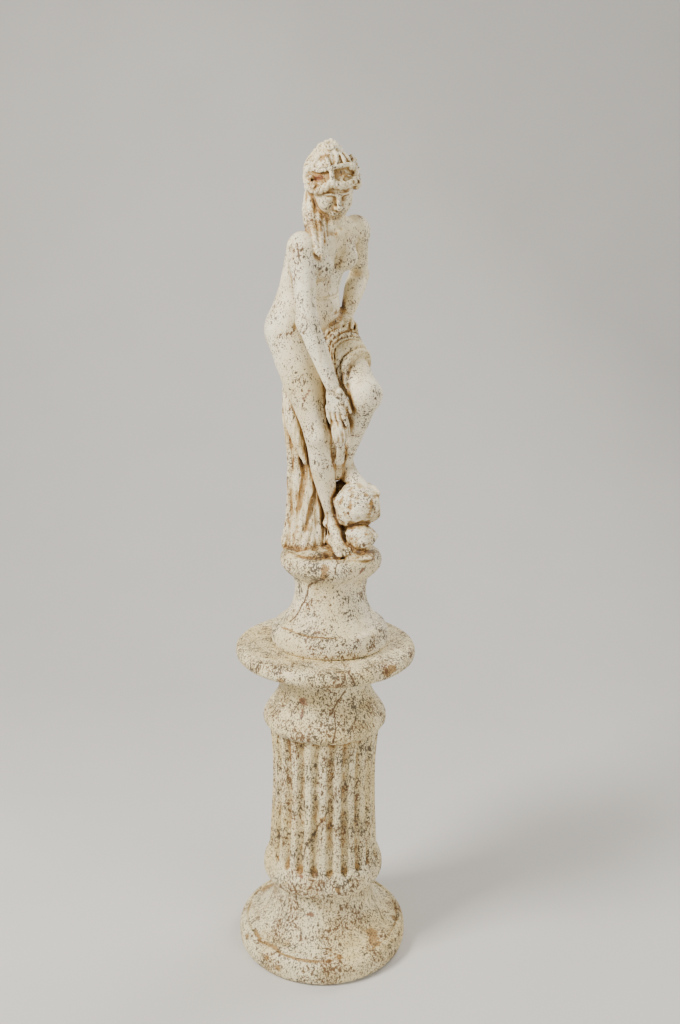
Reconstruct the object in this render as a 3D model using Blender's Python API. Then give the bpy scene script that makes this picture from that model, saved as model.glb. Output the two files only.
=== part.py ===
import bpy
import numpy as np

# Pedestal, in metres: a round plate, a fluted shaft between two mouldings, and a round top
PLATE_RADIUS = 0.170
PLATE_HEIGHT = 0.050
FOOT_HEIGHT = 0.098
WAIST_RADIUS = 0.099
RING_RADIUS = 0.1205
RING_HEIGHT = 0.059
SHAFT_RADIUS = 0.108
SHAFT_HEIGHT = 0.2695
CAPITAL_RADIUS = 0.1205
CAPITAL_HEIGHT = 0.1015
THROAT_RADIUS = 0.088
NECKING_HEIGHT = 0.036
DISC_RADIUS = 0.1735
DISC_HEIGHT = 0.0325
FLUTES = 22
FLUTE_DEPTH = 0.0075
FLUTE_SHARE = 0.66
GROOVE_DEPTH = 0.0030

# Statue, in metres: a round socle under the figure
REST_GAP = 0.0003
STATUE_OFFSET = 0.008
SOCLE_RADIUS = 0.1141
SOCLE_BASE_HEIGHT = 0.0410
SOCLE_STEM_RADIUS = 0.068
SOCLE_STEM_HEIGHT = 0.0950
SOCLE_TOP_RADIUS = 0.0967
SOCLE_TOP_HEIGHT = 0.0465
FIGURE_HEIGHT = 0.7335

# The figure is drawn this tall, in millimetres, and every size in its own part is a share of that
DRAWN_HEIGHT = 733.5
SCALE = FIGURE_HEIGHT / DRAWN_HEIGHT
SOCLE_SHIFT = 3.0
GROUND_RADIUS = 0.87 * SOCLE_TOP_RADIUS / SCALE

# How finely the surfaces are divided
FIGURE_STEP = 5.0
FIGURE_TRIANGLES = 4940
PLAIN_SIDES = 44
SOCLE_SIDES = 32
SIDES_PER_FLUTE = 4


# How far a shape's influence reaches past its own box, in drawn millimetres
REACH = 12.0
FAR = 1000.0


def vec(x, y, z):
    return np.array([x, y, z], float)


def unit(v):
    v = np.asarray(v, float)
    return v / np.linalg.norm(v)


def smooth_min(a, b, k):
    if k <= 0:
        return np.minimum(a, b)
    h = np.maximum(k - np.abs(a - b), 0) / k
    return np.minimum(a, b) - h * h * k * 0.25


def smooth_max(a, b, k):
    return -smooth_min(-a, -b, k)


def curve(stations, values):
    """A smooth curve through the values at the stations; each row of values may hold several numbers."""
    stations = np.asarray(stations, float)
    values = np.asarray(values, float)
    slope = np.gradient(values, stations, axis=0)

    def at(t):
        t = np.clip(t, stations[0], stations[-1])
        i = np.clip(np.searchsorted(stations, t, side="right") - 1, 0, len(stations) - 2)
        step = stations[i + 1] - stations[i]
        u = (t - stations[i]) / step
        a = (1 + 2 * u) * (1 - u) ** 2
        b = u * (1 - u) ** 2
        c = u * u * (3 - 2 * u)
        d = u * u * (u - 1)
        if values.ndim > 1:
            step, a, b, c, d = (x[:, None] for x in (step, a, b, c, d))
        return a * values[i] + b * step * slope[i] + c * values[i + 1] + d * step * slope[i + 1]

    return at


def along(points, count):
    """Points spaced evenly along the smooth curve through the given ones; a row may carry a radius."""
    points = np.asarray(points, float)
    gaps = np.linalg.norm(np.diff(points[:, :3], axis=0), axis=1)
    reach = np.r_[0, np.cumsum(gaps)]
    return curve(reach, points)(np.linspace(0, reach[-1], count + 1))


class Shape:
    """A distance function with the box that it fills."""

    def __init__(self, distance, low, high):
        self.distance = distance
        self.low = np.asarray(low, float)
        self.high = np.asarray(high, float)


def cone(a, b, ra, rb):
    """A round-ended cone from a to b."""
    a = np.asarray(a, float)
    b = np.asarray(b, float)
    axis = b - a
    length2 = axis @ axis
    taper = ra - rb
    a2 = length2 - taper * taper

    def distance(p):
        q = p - a
        y = q @ axis
        z = y - length2
        w = q * length2 - y[:, None] * axis
        x2 = (w * w).sum(1)
        k = np.sign(taper) * taper * taper * x2
        d = (np.sqrt(np.maximum(x2 * a2 / length2, 0)) + y * taper) / length2 - ra
        d = np.where(
            np.sign(y) * a2 * y * y * length2 < k, np.sqrt(x2 + y * y * length2) / length2 - ra, d
        )
        return np.where(
            np.sign(z) * a2 * z * z * length2 > k, np.sqrt(x2 + z * z * length2) / length2 - rb, d
        )

    r = max(ra, rb)
    return Shape(distance, np.minimum(a, b) - r, np.maximum(a, b) + r)


def ball(centre, radii, axes=None):
    """An ellipsoid with its radii along the rows of axes."""
    centre = np.asarray(centre, float)
    radii = np.asarray(radii, float) * np.ones(3)
    axes = np.eye(3) if axes is None else np.asarray(axes, float)

    def distance(p):
        q = (p - centre) @ axes.T
        k0 = np.sqrt(((q / radii) ** 2).sum(1))
        k1 = np.sqrt(((q / radii**2) ** 2).sum(1))
        return k0 * (k0 - 1) / np.maximum(k1, 1e-9)

    reach = np.sqrt(((axes * radii[:, None]) ** 2).sum(0))
    return Shape(distance, centre - reach, centre + reach)


def loft(a, b, front, stations, side, fore, back):
    """A round-ended limb from a to b, with half widths across, in front and behind at the stations."""
    a = np.asarray(a, float)
    b = np.asarray(b, float)
    length = np.linalg.norm(b - a)
    axis = (b - a) / length
    front = unit(np.asarray(front, float) - axis * (np.asarray(front, float) @ axis))
    across = np.cross(front, axis)
    widths, fores, backs = curve(stations, side), curve(stations, fore), curve(stations, back)
    most = max(max(side), max(fore), max(back))

    def distance(p):
        q = p - a
        t = (q @ axis) / length
        inside = np.clip(t, 0, 1)
        v = q @ front
        u = q @ across
        w = widths(inside)
        ahead, behind = fores(inside), backs(inside)
        d = np.where(v > 0, ahead, behind)
        over = (t - inside) * length
        cap = np.minimum(w, np.minimum(ahead, behind))
        rho = np.sqrt((u / w) ** 2 + (v / d) ** 2 + (over / cap) ** 2)
        steep = np.sqrt((u / w**2) ** 2 + (v / d**2) ** 2 + (over / cap**2) ** 2)
        return rho * (rho - 1) / np.maximum(steep, 1e-6)

    return Shape(distance, np.minimum(a, b) - most, np.maximum(a, b) + most)


class Clay:
    """A distance at every given point, built up by adding and cutting shapes."""

    def __init__(self, points):
        self.points = points
        self.low = points.min(0)
        self.high = points.max(0)
        self.d = np.full(len(points), FAR)

    def near(self, low, high, margin):
        if (self.low > high + margin).any() or (self.high < low - margin).any():
            return np.empty(0, int)
        p = self.points
        inside = np.ones(len(p), bool)
        for i in range(3):
            inside &= (p[:, i] > low[i] - margin) & (p[:, i] < high[i] + margin)
        return np.flatnonzero(inside)

    def add(self, shape, k=3):
        i = self.near(shape.low, shape.high, k + REACH)
        if len(i):
            self.d[i] = smooth_min(self.d[i], shape.distance(self.points[i]), k)

    def cut(self, shape, k=3):
        i = self.near(shape.low, shape.high, k + REACH)
        if len(i):
            self.d[i] = smooth_max(self.d[i], -shape.distance(self.points[i]), k)

    def tube(self, rows, k=2, count=8, cut=False):
        """A cord along the smooth curve through rows of x, y, z and radius."""
        q = along(rows, count)
        low = (q[:, :3] - q[:, 3:4]).min(0)
        high = (q[:, :3] + q[:, 3:4]).max(0)
        i = self.near(low, high, k + REACH)
        if not len(i):
            return
        p = self.points[i]
        d = np.full(len(i), FAR)
        for u, v in zip(q[:-1], q[1:]):
            part = cone(u[:3], v[:3], max(u[3], 0.1), max(v[3], 0.1))
            j = np.flatnonzero(((p > part.low - k - REACH) & (p < part.high + k + REACH)).all(1))
            if len(j):
                d[j] = np.minimum(d[j], part.distance(p[j]))
        self.d[i] = smooth_max(self.d[i], -d, k) if cut else smooth_min(self.d[i], d, k)

    def join(self, other, k):
        self.d = smooth_min(self.d, other.d, k)


def heading(degrees):
    """Forward, left and up of a body that faces this far to the right of straight ahead."""
    a = np.radians(degrees)
    return vec(np.sin(a), -np.cos(a), 0), vec(np.cos(a), np.sin(a), 0), vec(0, 0, 1)


def turned_frame(turn, nod, tip):
    """Forward, left and up after a turn, a nod downwards and a tip to the side."""
    forward, left, up = heading(turn)
    n = np.radians(nod)
    t = np.radians(tip)
    forward, up = forward * np.cos(n) - up * np.sin(n), up * np.cos(n) + forward * np.sin(n)
    return forward, left * np.cos(t) + up * np.sin(t), up * np.cos(t) - left * np.sin(t)


# The joints of the figure, in drawn millimetres from the middle of the socle's top
PELVIS = vec(-49, 40, 396)
HIP_R, KNEE_R, ANKLE_R = vec(-77, 8, 410), vec(-25, -14, 218), vec(5, 16, 50)
HIP_L, KNEE_L, ANKLE_L = vec(-18, 66, 402), vec(61, -56, 300), vec(27, 30, 158)
SHOULDER_R, ELBOW_R, WRIST_R = vec(-54, -42, 548), vec(-44, -66, 428), vec(2, -70, 316)
SHOULDER_L, ELBOW_L, WRIST_L = vec(40, 60, 584), vec(49, 140, 507), vec(26, 56, 436)
HEAD = vec(-4, -11, 657)
HEAD_TURN, HEAD_NOD, HEAD_TIP = 20, 35, 8
BODY_TURN = 45
FORWARD, LEFT, UP = heading(BODY_TURN)
BODY_AXES = np.stack([LEFT, FORWARD, UP])
FACE, HEAD_LEFT, CROWN = turned_frame(HEAD_TURN, HEAD_NOD, HEAD_TIP)
HEAD_AXES = np.stack([HEAD_LEFT, FACE, CROWN])

# Sections of the trunk: height, centre x and y, side tilt, half width, depth in front and behind
TRUNK = np.array(
    [
        (340, -42, 36, -0.08, 40, 36, 32),
        (358, -44, 38, -0.08, 60, 44, 43),
        (380, -47, 40, -0.10, 73, 49, 50),
        (404, -49, 39, -0.10, 76, 52, 54),
        (430, -49, 37, -0.08, 73, 53, 55),
        (454, -48, 34, 0.02, 67, 53, 55),
        (476, -45, 31, 0.10, 62, 50, 52),
        (500, -38, 24, 0.20, 63, 48, 52),
        (524, -30, 16, 0.27, 67, 46, 55),
        (550, -20, 12, 0.29, 68, 41, 55),
        (572, -10, 9, 0.29, 58, 32, 44),
        (592, -6, 5, 0.29, 36, 22, 29),
    ],
    float,
)
SECTION = curve(TRUNK[:, 0], TRUNK[:, 1:])


def trunk():
    """The trunk as a stack of sections that tilt to the side with the hips and the shoulders."""

    def distance(p):
        z = p[:, 2]
        for _ in range(3):
            x, y, tilt, half, fore, back = SECTION(z).T
            q = p - np.stack([x, y, z], 1)
            side = q @ LEFT
            z = p[:, 2] - tilt * side
        depth = (p[:, 0] - x) * FORWARD[0] + (p[:, 1] - y) * FORWARD[1]
        reach = np.where(depth > 0, fore, back)
        rho = np.sqrt((side / half) ** 2 + (depth / reach) ** 2)
        steep = np.sqrt((side / half**2) ** 2 + (depth / reach**2) ** 2)
        d = rho * (rho - 1) / np.maximum(steep, 1e-6)
        d = np.where(rho < 0.3, -0.7 * np.minimum(half, reach), d)
        return smooth_max(smooth_max(d, z - TRUNK[-1, 0], 14), TRUNK[0, 0] - z, 20)

    return Shape(distance, (-145, -55, 310), (95, 130, 635))


def on_trunk(z, angle, lift=0.0):
    """A point on the trunk at a height and an angle round from the front towards the left side."""
    x, y, tilt, half, fore, back = SECTION(np.array([float(z)]))[0]
    g = np.radians(angle)
    side = (half + lift) * np.sin(g)
    depth = ((fore if abs(angle) < 90 else back) + lift) * np.cos(g)
    return vec(x, y, z + tilt * side) + LEFT * side + FORWARD * depth


def with_radius(points, radii):
    return [tuple(p) + (r,) for p, r in zip(points, radii)]


def in_head(left, forward, up):
    return HEAD + HEAD_LEFT * left + FACE * forward + CROWN * up


def body(clay):
    clay.add(trunk(), 0)
    clay.add(ball(PELVIS - LEFT * 33 - FORWARD * 25 + UP * 6, (34, 34, 40)), 14)
    clay.add(ball(PELVIS + LEFT * 34 - FORWARD * 25 - UP * 6, (35, 35, 38)), 14)
    clay.add(ball((-20, 12, 446), (32, 26, 32), BODY_AXES), 16)
    for side, z in ((-1, 519), (1, 537)):
        chest = vec(-27, 17, z) + LEFT * side * 31
        clay.add(ball(chest + FORWARD * 35, (24, 24, 23), BODY_AXES), 14)
        clay.add(ball(chest + FORWARD * 30 + UP * 16, (22, 14, 26), BODY_AXES), 14)
        blade = vec(-16, 10, 556 + side * 12) + LEFT * side * 36
        clay.add(ball(blade - FORWARD * 34, (22, 14, 30), BODY_AXES), 16)
    # Neck, slopes of the shoulders, collar bones and the pit between them
    clay.add(cone((-13, 8, 572), in_head(0, -14, -22), 25, 21.5), 16)
    clay.add(cone((-10, 8, 588), (34, 52, 584), 17, 18), 24)
    clay.add(cone((-12, 4, 582), (-48, -36, 552), 16, 19), 24)
    clay.tube([(6, -24, 573, 4), (22, 2, 584, 4.5), (42, 36, 594, 4)], 8)
    clay.tube([(0, -28, 569, 4), (-18, -44, 564, 4.5), (-40, -56, 558, 4)], 8)
    clay.cut(ball((4, -31, 579), (6, 6, 8)), 8)
    # Line down the front, crease of the belly, navel and spine
    clay.tube(with_radius([on_trunk(z, 4, 3.5) for z in (552, 530, 505, 482)], (3.2,) * 4), 9, cut=True)
    crease = ((470, -50), (465, -20), (466, 10), (471, 40))
    clay.tube(with_radius([on_trunk(z, g, 2.2) for z, g in crease], (1.8, 2.6, 2.8, 2.2)), 4, cut=True)
    clay.cut(ball(on_trunk(446, 2, 9.5), (3, 3.4, 3.6)), 4)
    spine = [on_trunk(z, 180, 4) for z in range(404, 573, 24)]
    clay.tube(with_radius(spine, (7,) * len(spine)), 12, cut=True)


def arms(clay):
    clay.add(ball(SHOULDER_R, (24, 24, 28)), 20)
    upper = (0, 0.3, 0.65, 1)
    lower = (0, 0.25, 0.6, 1)
    clay.add(
        loft(
            SHOULDER_R,
            ELBOW_R,
            -FORWARD,
            upper,
            (23, 21, 18.5, 16.5),
            (22, 21, 19, 17),
            (22, 22, 20, 17),
        ),
        14,
    )
    clay.add(
        loft(
            ELBOW_R,
            WRIST_R,
            heading(20)[0],
            lower,
            (16.5, 18.5, 16, 12.5),
            (16, 18, 14, 10),
            (16, 17, 13, 9.5),
        ),
        16,
    )
    clay.add(ball(SHOULDER_L, (23, 23, 27)), 20)
    clay.add(
        loft(SHOULDER_L, ELBOW_L, FORWARD, upper, (22, 21, 19, 17), (22, 21, 19, 17), (22, 22, 19, 16)),
        14,
    )
    clay.add(
        loft(
            ELBOW_L, WRIST_L, heading(90)[0], lower, (17, 19, 17, 13), (17, 19, 16, 12), (18, 21, 18, 12)
        ),
        8,
    )


def hand(clay, wrist, aim, palm, length, spread, curl, thumb_out, side_sign):
    """A hand: aim runs along the fingers, palm is the way it faces; the thumb is on the given side."""
    aim = unit(aim)
    palm = unit(palm - aim * (palm @ aim))
    side = np.cross(aim, palm) * side_sign
    size = length
    knuckles = wrist + aim * size * 0.50
    widths = (0.135 * size, 0.19 * size, 0.215 * size)
    clay.add(
        loft(wrist, knuckles, palm, (0, 0.4, 1), widths, (0.10 * size,) * 3, (0.085 * size,) * 3), 5
    )
    for i, share in enumerate((0.40, 0.47, 0.45, 0.36)):
        place = i - 1.5
        reach = share * size
        r = 0.062 * size
        start = knuckles + side * place * 0.115 * size - aim * 0.04 * size
        middle = start + unit(aim + side * place * spread + palm * curl * 0.5) * reach * 0.55
        tip = middle + unit(aim + side * place * spread * 0.5 + palm * curl * 1.6) * reach * 0.45
        clay.add(cone(start, middle, r * 1.12, r), 1.8)
        clay.add(cone(middle, tip, r, r * 0.82), 1.5)
    root = wrist + aim * size * 0.12 - side * 0.15 * size
    joint = root + unit(aim - side * thumb_out + palm * 0.3) * size * 0.27
    tip = joint + unit(aim - side * 0.1 + palm * 0.3) * size * 0.22
    clay.add(cone(root, joint, 0.085 * size, 0.072 * size), 4)
    clay.add(cone(joint, tip, 0.07 * size, 0.055 * size), 2)


def foot(clay, ankle, aim, length, sole, side_sign):
    """A foot: aim runs from heel to toes, sole is how far it lies under the ankle."""
    aim = unit(aim)
    size = length
    side = unit(np.cross(aim, UP)) * side_sign
    up = np.cross(side, aim) * side_sign
    heel = ankle - aim * 0.17 * size - up * (sole - 0.10 * size)
    pad = ankle + aim * 0.47 * size - up * (sole - 0.075 * size)
    clay.add(ball(heel, (0.115 * size, 0.115 * size, 0.11 * size)), 8)
    clay.add(cone(heel, pad + side * 0.05 * size, 0.10 * size, 0.085 * size), 6)
    clay.add(cone(heel, pad - side * 0.08 * size, 0.10 * size, 0.065 * size), 6)
    clay.add(cone(ankle + aim * 0.02 * size, pad + side * 0.02 * size, 0.12 * size, 0.075 * size), 10)
    toes = (
        (0.135, 0.24, 0.058),
        (0.055, 0.245, 0.042),
        (-0.015, 0.22, 0.039),
        (-0.08, 0.19, 0.036),
        (-0.14, 0.15, 0.033),
    )
    for place, reach, thick in toes:
        r = thick * size
        start = pad + side * place * 0.8 * size + aim * 0.02 * size + up * 0.01 * size
        middle = pad + side * place * size + aim * reach * 0.6 * size + up * 0.01 * size
        tip = pad + side * place * size + aim * reach * 1.05 * size - up * (0.075 * size - r)
        clay.add(cone(start, middle, r * 1.05, r), 2.2)
        clay.add(cone(middle, tip, r, r * 0.95), 2)
    for s in (-1, 1):
        clay.add(
            ball(
                ankle + side * s * 0.105 * size - up * 0.02 * size,
                (0.06 * size, 0.06 * size, 0.065 * size),
            ),
            6,
        )


def legs(clay):
    thigh = (0, 0.2, 0.45, 0.7, 0.88, 1)
    front = heading(42)[0]
    widths = (44, 43, 38, 30, 24.5, 22.5), (42, 42, 38, 31, 25, 23), (44, 43, 38, 30, 25, 22)
    clay.add(loft(HIP_R, KNEE_R, front, thigh, *widths), 16)
    front = heading(25)[0]
    shin = (0, 0.15, 0.35, 0.6, 0.85, 1)
    widths = (22.5, 22, 22.5, 18.5, 13, 11.5), (22, 19, 16, 13, 11, 10), (21, 24, 28, 23, 15, 12.5)
    clay.add(loft(KNEE_R, ANKLE_R, front, shin, *widths), 6)
    knee_axes = np.stack([heading(25)[1], front, UP])
    clay.add(ball(KNEE_R + front * 12 + UP * 2, (13, 11, 16), knee_axes), 8)
    foot(clay, ANKLE_R, vec(0.34, -0.9, -0.04), 116, 46, 1)
    raised = (0, 0.2, 0.5, 0.8, 1)
    widths = (46, 45, 40, 32, 28), (44, 44, 40, 32, 28), (44, 44, 38, 28, 24)
    clay.add(loft(HIP_L, KNEE_L, heading(60)[0] + UP, raised, *widths), 16)
    front = heading(BODY_TURN)[0]
    widths = (25, 23.5, 22, 18, 13, 12), (26, 24, 21, 16, 12, 12), (20, 24, 26, 21, 14, 13)
    clay.add(loft(KNEE_L, ANKLE_L, front, shin, *widths), 16)
    clay.add(ball(KNEE_L + front * 7 + UP * 1, (18, 15, 20), BODY_AXES), 16)
    foot(clay, ANKLE_L, vec(0.62, -0.70, -0.28), 116, 30, -1)


def head(clay):
    def mass(left, forward, up, radii, k):
        clay.add(ball(in_head(left, forward, up), radii, HEAD_AXES), k)

    def line(rows, k, cut=False):
        clay.tube([tuple(in_head(a, b, c)) + (r,) for a, b, c, r in rows], k, cut=cut)

    mass(0, -8, 14, (39, 47, 42), 10)
    mass(0, 10, -10, (32, 33, 40), 14)
    mass(0, 20, -32, (21, 21, 19), 12)
    mass(0, 35, -45, (9, 8, 8), 9)
    for s in (-1, 1):
        mass(s * 17, 26, -17, (12, 11, 14), 9)
        mass(s * 22, 4, -30, (9, 16, 12), 9)
    # Sockets, closed lids and brows
    for s in (-1, 1):
        clay.cut(ball(in_head(s * 13.5, 44.5, 1.5), (9.5, 6, 6), HEAD_AXES), 6)
        mass(s * 13.5, 33.2, 1.0, (9, 9.2, 7), 1.5)
        line(((s * 4, 42, 6.5, 1.8), (s * 12, 42.5, 9.5, 2.2), (s * 22, 35, 6.5, 1.6)), 4)
        line(((s * 5, 38.5, -2, 0.9), (s * 13, 42.2, -3.8, 1.0), (s * 21.5, 36, -1.5, 0.8)), 1)
        line(((s * 6, 40, 4.8, 0.7), (s * 13, 42.6, 5.6, 0.8), (s * 21, 36.5, 3.8, 0.6)), 1.2, cut=True)
    # Nose
    clay.add(cone(in_head(0, 41, 7), in_head(0, 51.5, -12), 3.6, 4.4), 5)
    mass(0, 50, -14.5, (4.6, 4.8, 4.2), 3)
    for s in (-1, 1):
        mass(s * 5.2, 45.5, -15.5, (3.4, 4.2, 3.4), 2.5)
    # Lips and the hollow under them
    mass(0, 40.5, -26.5, (11, 5.5, 7.5), 5)
    line(
        ((-9, 40.5, -26, 1.0), (-3.5, 44.6, -24.4, 1.7), (3.5, 44.6, -24.4, 1.7), (9, 40.5, -26, 1.0)),
        1.6,
    )
    line(((-8, 40.5, -28.2, 1.2), (0, 44, -29.6, 2.2), (8, 40.5, -28.2, 1.2)), 1.6)
    line(((-10, 41.5, -26.9, 0.6), (0, 47.4, -27, 0.7), (10, 41.5, -26.9, 0.6)), 0.8, cut=True)
    clay.cut(ball(in_head(0, 44.5, -35.5), (7, 3, 3), HEAD_AXES), 4)


def rope(clay, rows, turns, strands, k=1.6, count=20, lift=0.55, size=0.62):
    """Strands wound round a curve whose rows carry its own thickness."""
    q = along(rows, count)
    t = np.linspace(0, 1, len(q))
    run = np.gradient(q[:, :3], axis=0)
    run /= np.linalg.norm(run, axis=1, keepdims=True)
    u = np.cross(run, vec(0.3, 0.2, 1))
    u /= np.linalg.norm(u, axis=1, keepdims=True)
    v = np.cross(run, u)
    for strand in range(strands):
        a = 2 * np.pi * (turns * t + strand / strands)
        off = np.cos(a)[:, None] * u + np.sin(a)[:, None] * v
        points = q[:, :3] + off * (q[:, 3] * lift)[:, None]
        clay.tube(np.c_[points, q[:, 3] * size], k, count=len(q) * 2)


DOME_CENTRE = (0, -8, 14)
DOME_RADII = (40, 48, 42.5)


def on_dome(azimuth, elevation, lift):
    """Left, forward and up of the head, at a bearing from the face and an angle of height, over the hair."""
    a, e = np.radians(azimuth), np.radians(elevation)
    way = vec(np.sin(a) * np.cos(e), np.cos(a) * np.cos(e), np.sin(e))
    return np.array(DOME_CENTRE) + way * (np.array(DOME_RADII) + lift)


def hair(clay):
    def rows(*places):
        return [tuple(in_head(a, b, c)) + (r,) for a, b, c, r in places]

    def bearings(places, r, lift=3.0):
        return [tuple(in_head(*on_dome(a, e, lift))) + (r,) for a, e in places]

    clay.add(ball(in_head(0, -13, 17), (42, 46, 41), HEAD_AXES), 3)
    clay.add(ball(in_head(0, -40, -10), (29, 21, 29), HEAD_AXES), 6)
    # Garland of two waves that part over the brow and rise round a window of plain hair on each side
    left_wave = ((-17, 18), (-27, 7), (-42, -6), (-60, -17), (-80, -16), (-95, 0), (-93, 16), (-84, 27))
    right_wave = ((-17, 18), (-6, 11), (10, 8), (28, 6), (46, 10), (59, 19), (60, 31), (48, 42))
    for s, wave in ((-1, left_wave), (1, right_wave)):
        rope(clay, bearings(wave, 6.8, 3.0), 3.0 * s, 3, k=1.2, count=34, lift=0.5, size=0.62)
    # Ribbon of plaited hair across the crown, and the straps that tie it to the parting and the knot
    ribbon = bearings(
        ((-88, 24), (-52, 36), (-24, 48), (6, 52), (35, 50), (60, 40), (88, 30), (118, 16)), 4.4, 2.6
    )
    clay.tube(ribbon, 1.2, count=24)
    clay.tube(bearings(((-17, 20), (-19, 34), (-24, 47)), 4.8, 2.6), 1.5)
    straps = (
        ((-84, 27), (-86, 46), (-107, 66)),
        ((-28, 50), (-50, 64), (-107, 67)),
        ((-4, 52), (4, 66), (40, 80)),
        ((32, 51), (44, 62), (70, 74)),
        ((62, 41), (74, 54), (95, 66)),
    )
    for strap in straps:
        clay.tube(bearings(strap, 3.8, 2.2), 1.2)
    # Strands inside the windows
    for places in (
        ((-34, 16), (-50, 24), (-70, 12)),
        ((-38, 2), (-54, 8), (-72, 0)),
        ((4, 20), (20, 32), (38, 24)),
        ((6, 10), (24, 18), (42, 16)),
    ):
        clay.tube(bearings(places, 2.6, -0.4), 1.0)
    # Waves swept back over the ears and the back of the head
    for s in (-1, 1):
        ear = ((s * 58, 2), (s * 74, -16), (s * 92, -24), (s * 116, -18), (s * 142, -26), (s * 165, -34))
        rope(clay, bearings(ear, 7.5, 3.5 + 1.5 * s), 2.4 * s, 3, k=1.4, count=28)
        for place, rise in enumerate((14, 0, 32)):
            sweep = (
                (s * (66 + 6 * place), rise),
                (s * 96, rise - 2),
                (s * 130, rise - 14),
                (s * 160, rise - 34),
            )
            rope(clay, bearings(sweep, 6.0, 3.5 + 1.5 * s), 2.0 * s, 2, k=1.4, count=22)
    # Knot of three coils
    clay.add(ball(in_head(-1, -22, 48), (20, 20, 18), HEAD_AXES), 4)
    for i, (radius, up) in enumerate(((21.5, 44), (18, 53.5), (9.5, 61.5))):
        a = 2 * np.pi * np.arange(7) / 6 + i
        across, along_y, rise = radius * np.sin(a) - 1, radius * np.cos(a) - 22, up + 2 * np.sin(
            2 * a + i
        )
        coil = np.stack([across, along_y, rise, np.full(7, 6.5)], 1)
        rope(clay, rows(*coil), 5, 2, k=1.0, count=32, lift=0.5, size=0.6)
    # Strands combed up the back of the head
    for i in range(7):
        side = (i - 3) * 10
        clay.tube(
            rows(
                (side, -54 + abs(side) * 0.35, -18, 6),
                (side * 1.1, -60 + abs(side) * 0.4, 8, 7),
                (side * 0.6, -46, 40, 6),
            ),
            2.5,
        )
    # Long lock over the right shoulder
    for i, (o, b) in enumerate(((0, 0), (7, 3), (-6, 2), (2, -7), (12, -3))):
        clay.tube(
            [
                (-40 + o * 0.4, 4 + b, 662, 10),
                (-41 + o * 0.4, 3 + b, 644, 9),
                (-42 + o, -6 + b, 622, 8.5),
                (-40 + o, -20 + b, 600, 8),
                (-36 + o, -40 + b, 578, 7),
                (-31 + o * 0.8, -58 + b * 0.6, 560 - i * 2, 5),
                (-25 + o * 0.5, -64, 546 - i * 3, 2),
            ],
            2.2,
            count=10,
        )
    for o, b in ((0, 0), (9, 4)):
        clay.tube(
            [
                (-20 + o, -2 + b, 640, 5),
                (-24 + o, -14 + b, 620, 6),
                (-27 + o, -24 + b, 600, 6),
                (-26 + o, -38 + b, 580, 5),
                (-22 + o, -50 + b, 562, 3),
            ],
            2.2,
        )


# The raised thigh's own directions, and the grooves between its folds: angles round the thigh from
# its top towards the inside, and how far along the thigh each groove lies at those angles
THIGH_AXIS = unit(KNEE_L - HIP_L)
THIGH_LENGTH = float(np.linalg.norm(KNEE_L - HIP_L))
THIGH_UP = unit(vec(0.1, -0.25, 1) - THIGH_AXIS * (vec(0.1, -0.25, 1) @ THIGH_AXIS))
THIGH_INNER = unit(np.cross(THIGH_AXIS, THIGH_UP))
FOLD_ANGLES = np.array([-180, -110, -60, -30, -12, 8, 24, 38, 50, 66, 90, 115, 180], float)
FOLD_LINES = np.array(
    [
        (0.22, 0.16, 0.18, 0.20, 0.21, 0.21, 0.22, 0.24, 0.28, 0.30, 0.32, 0.32, 0.22),
        (0.34, 0.27, 0.27, 0.27, 0.27, 0.28, 0.29, 0.31, 0.36, 0.42, 0.46, 0.46, 0.34),
        (0.46, 0.36, 0.35, 0.34, 0.34, 0.36, 0.38, 0.40, 0.46, 0.54, 0.60, 0.60, 0.46),
        (0.56, 0.43, 0.42, 0.41, 0.41, 0.42, 0.43, 0.45, 0.51, 0.61, 0.70, 0.72, 0.56),
        (0.66, 0.50, 0.48, 0.46, 0.455, 0.46, 0.475, 0.50, 0.56, 0.68, 0.80, 0.84, 0.66),
        (0.74, 0.60, 0.56, 0.55, 0.57, 0.60, 0.625, 0.645, 0.68, 0.77, 0.90, 0.95, 0.74),
        (0.80, 0.68, 0.65, 0.64, 0.645, 0.685, 0.725, 0.76, 0.80, 0.86, 0.97, 0.99, 0.80),
    ]
)
FOLD_DEPTHS = np.array([1.5, 4.0, 4.5, 4.5, 5.0, 7.0, 0.0])


def thigh_cloth():
    """Cloth laid over the raised thigh: rounded folds, sharp grooves between them, and a hem."""

    def distance(p):
        q = p - HIP_L
        t = (q @ THIGH_AXIS) / THIGH_LENGTH
        u = q @ THIGH_UP
        v = q @ THIGH_INNER
        r = np.hypot(u, v)
        angle = np.degrees(np.arctan2(v, u))
        lines = np.stack([np.interp(angle, FOLD_ANGLES, line) for line in FOLD_LINES])
        relief = np.zeros(len(p))
        for i in range(len(lines) - 1):
            gap = lines[i + 1] - lines[i]
            place = np.clip((t - lines[i]) / gap, 0, 1)
            within = (t >= lines[i]) & (t < lines[i + 1])
            lower = FOLD_DEPTHS[i] * np.exp(-place * gap * THIGH_LENGTH / 3.0)
            upper = FOLD_DEPTHS[i + 1] * np.exp(-(1 - place) * gap * THIGH_LENGTH / 3.0)
            swell = 2.6 * np.sin(np.pi * place)
            relief = np.where(within, swell - lower - upper, relief)
        side = np.clip((np.abs(angle) - 40) / 50, 0, 1)
        under = np.clip((np.abs(angle) - 90) / 60, 0, 1)
        cover = 55.0 - 12.5 * t - (12.0 * side + 6.0 * under) * np.clip(t, 0, 1)
        d = (r - cover - relief) * 0.85
        d = smooth_max(d, (t - lines[-1]) * THIGH_LENGTH * 0.9, 2.5)
        return smooth_max(d, (0.12 - t) * THIGH_LENGTH, 8)

    low = np.minimum(HIP_L, KNEE_L) - 60
    return Shape(distance, low, np.maximum(HIP_L, KNEE_L) + 60)


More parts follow.
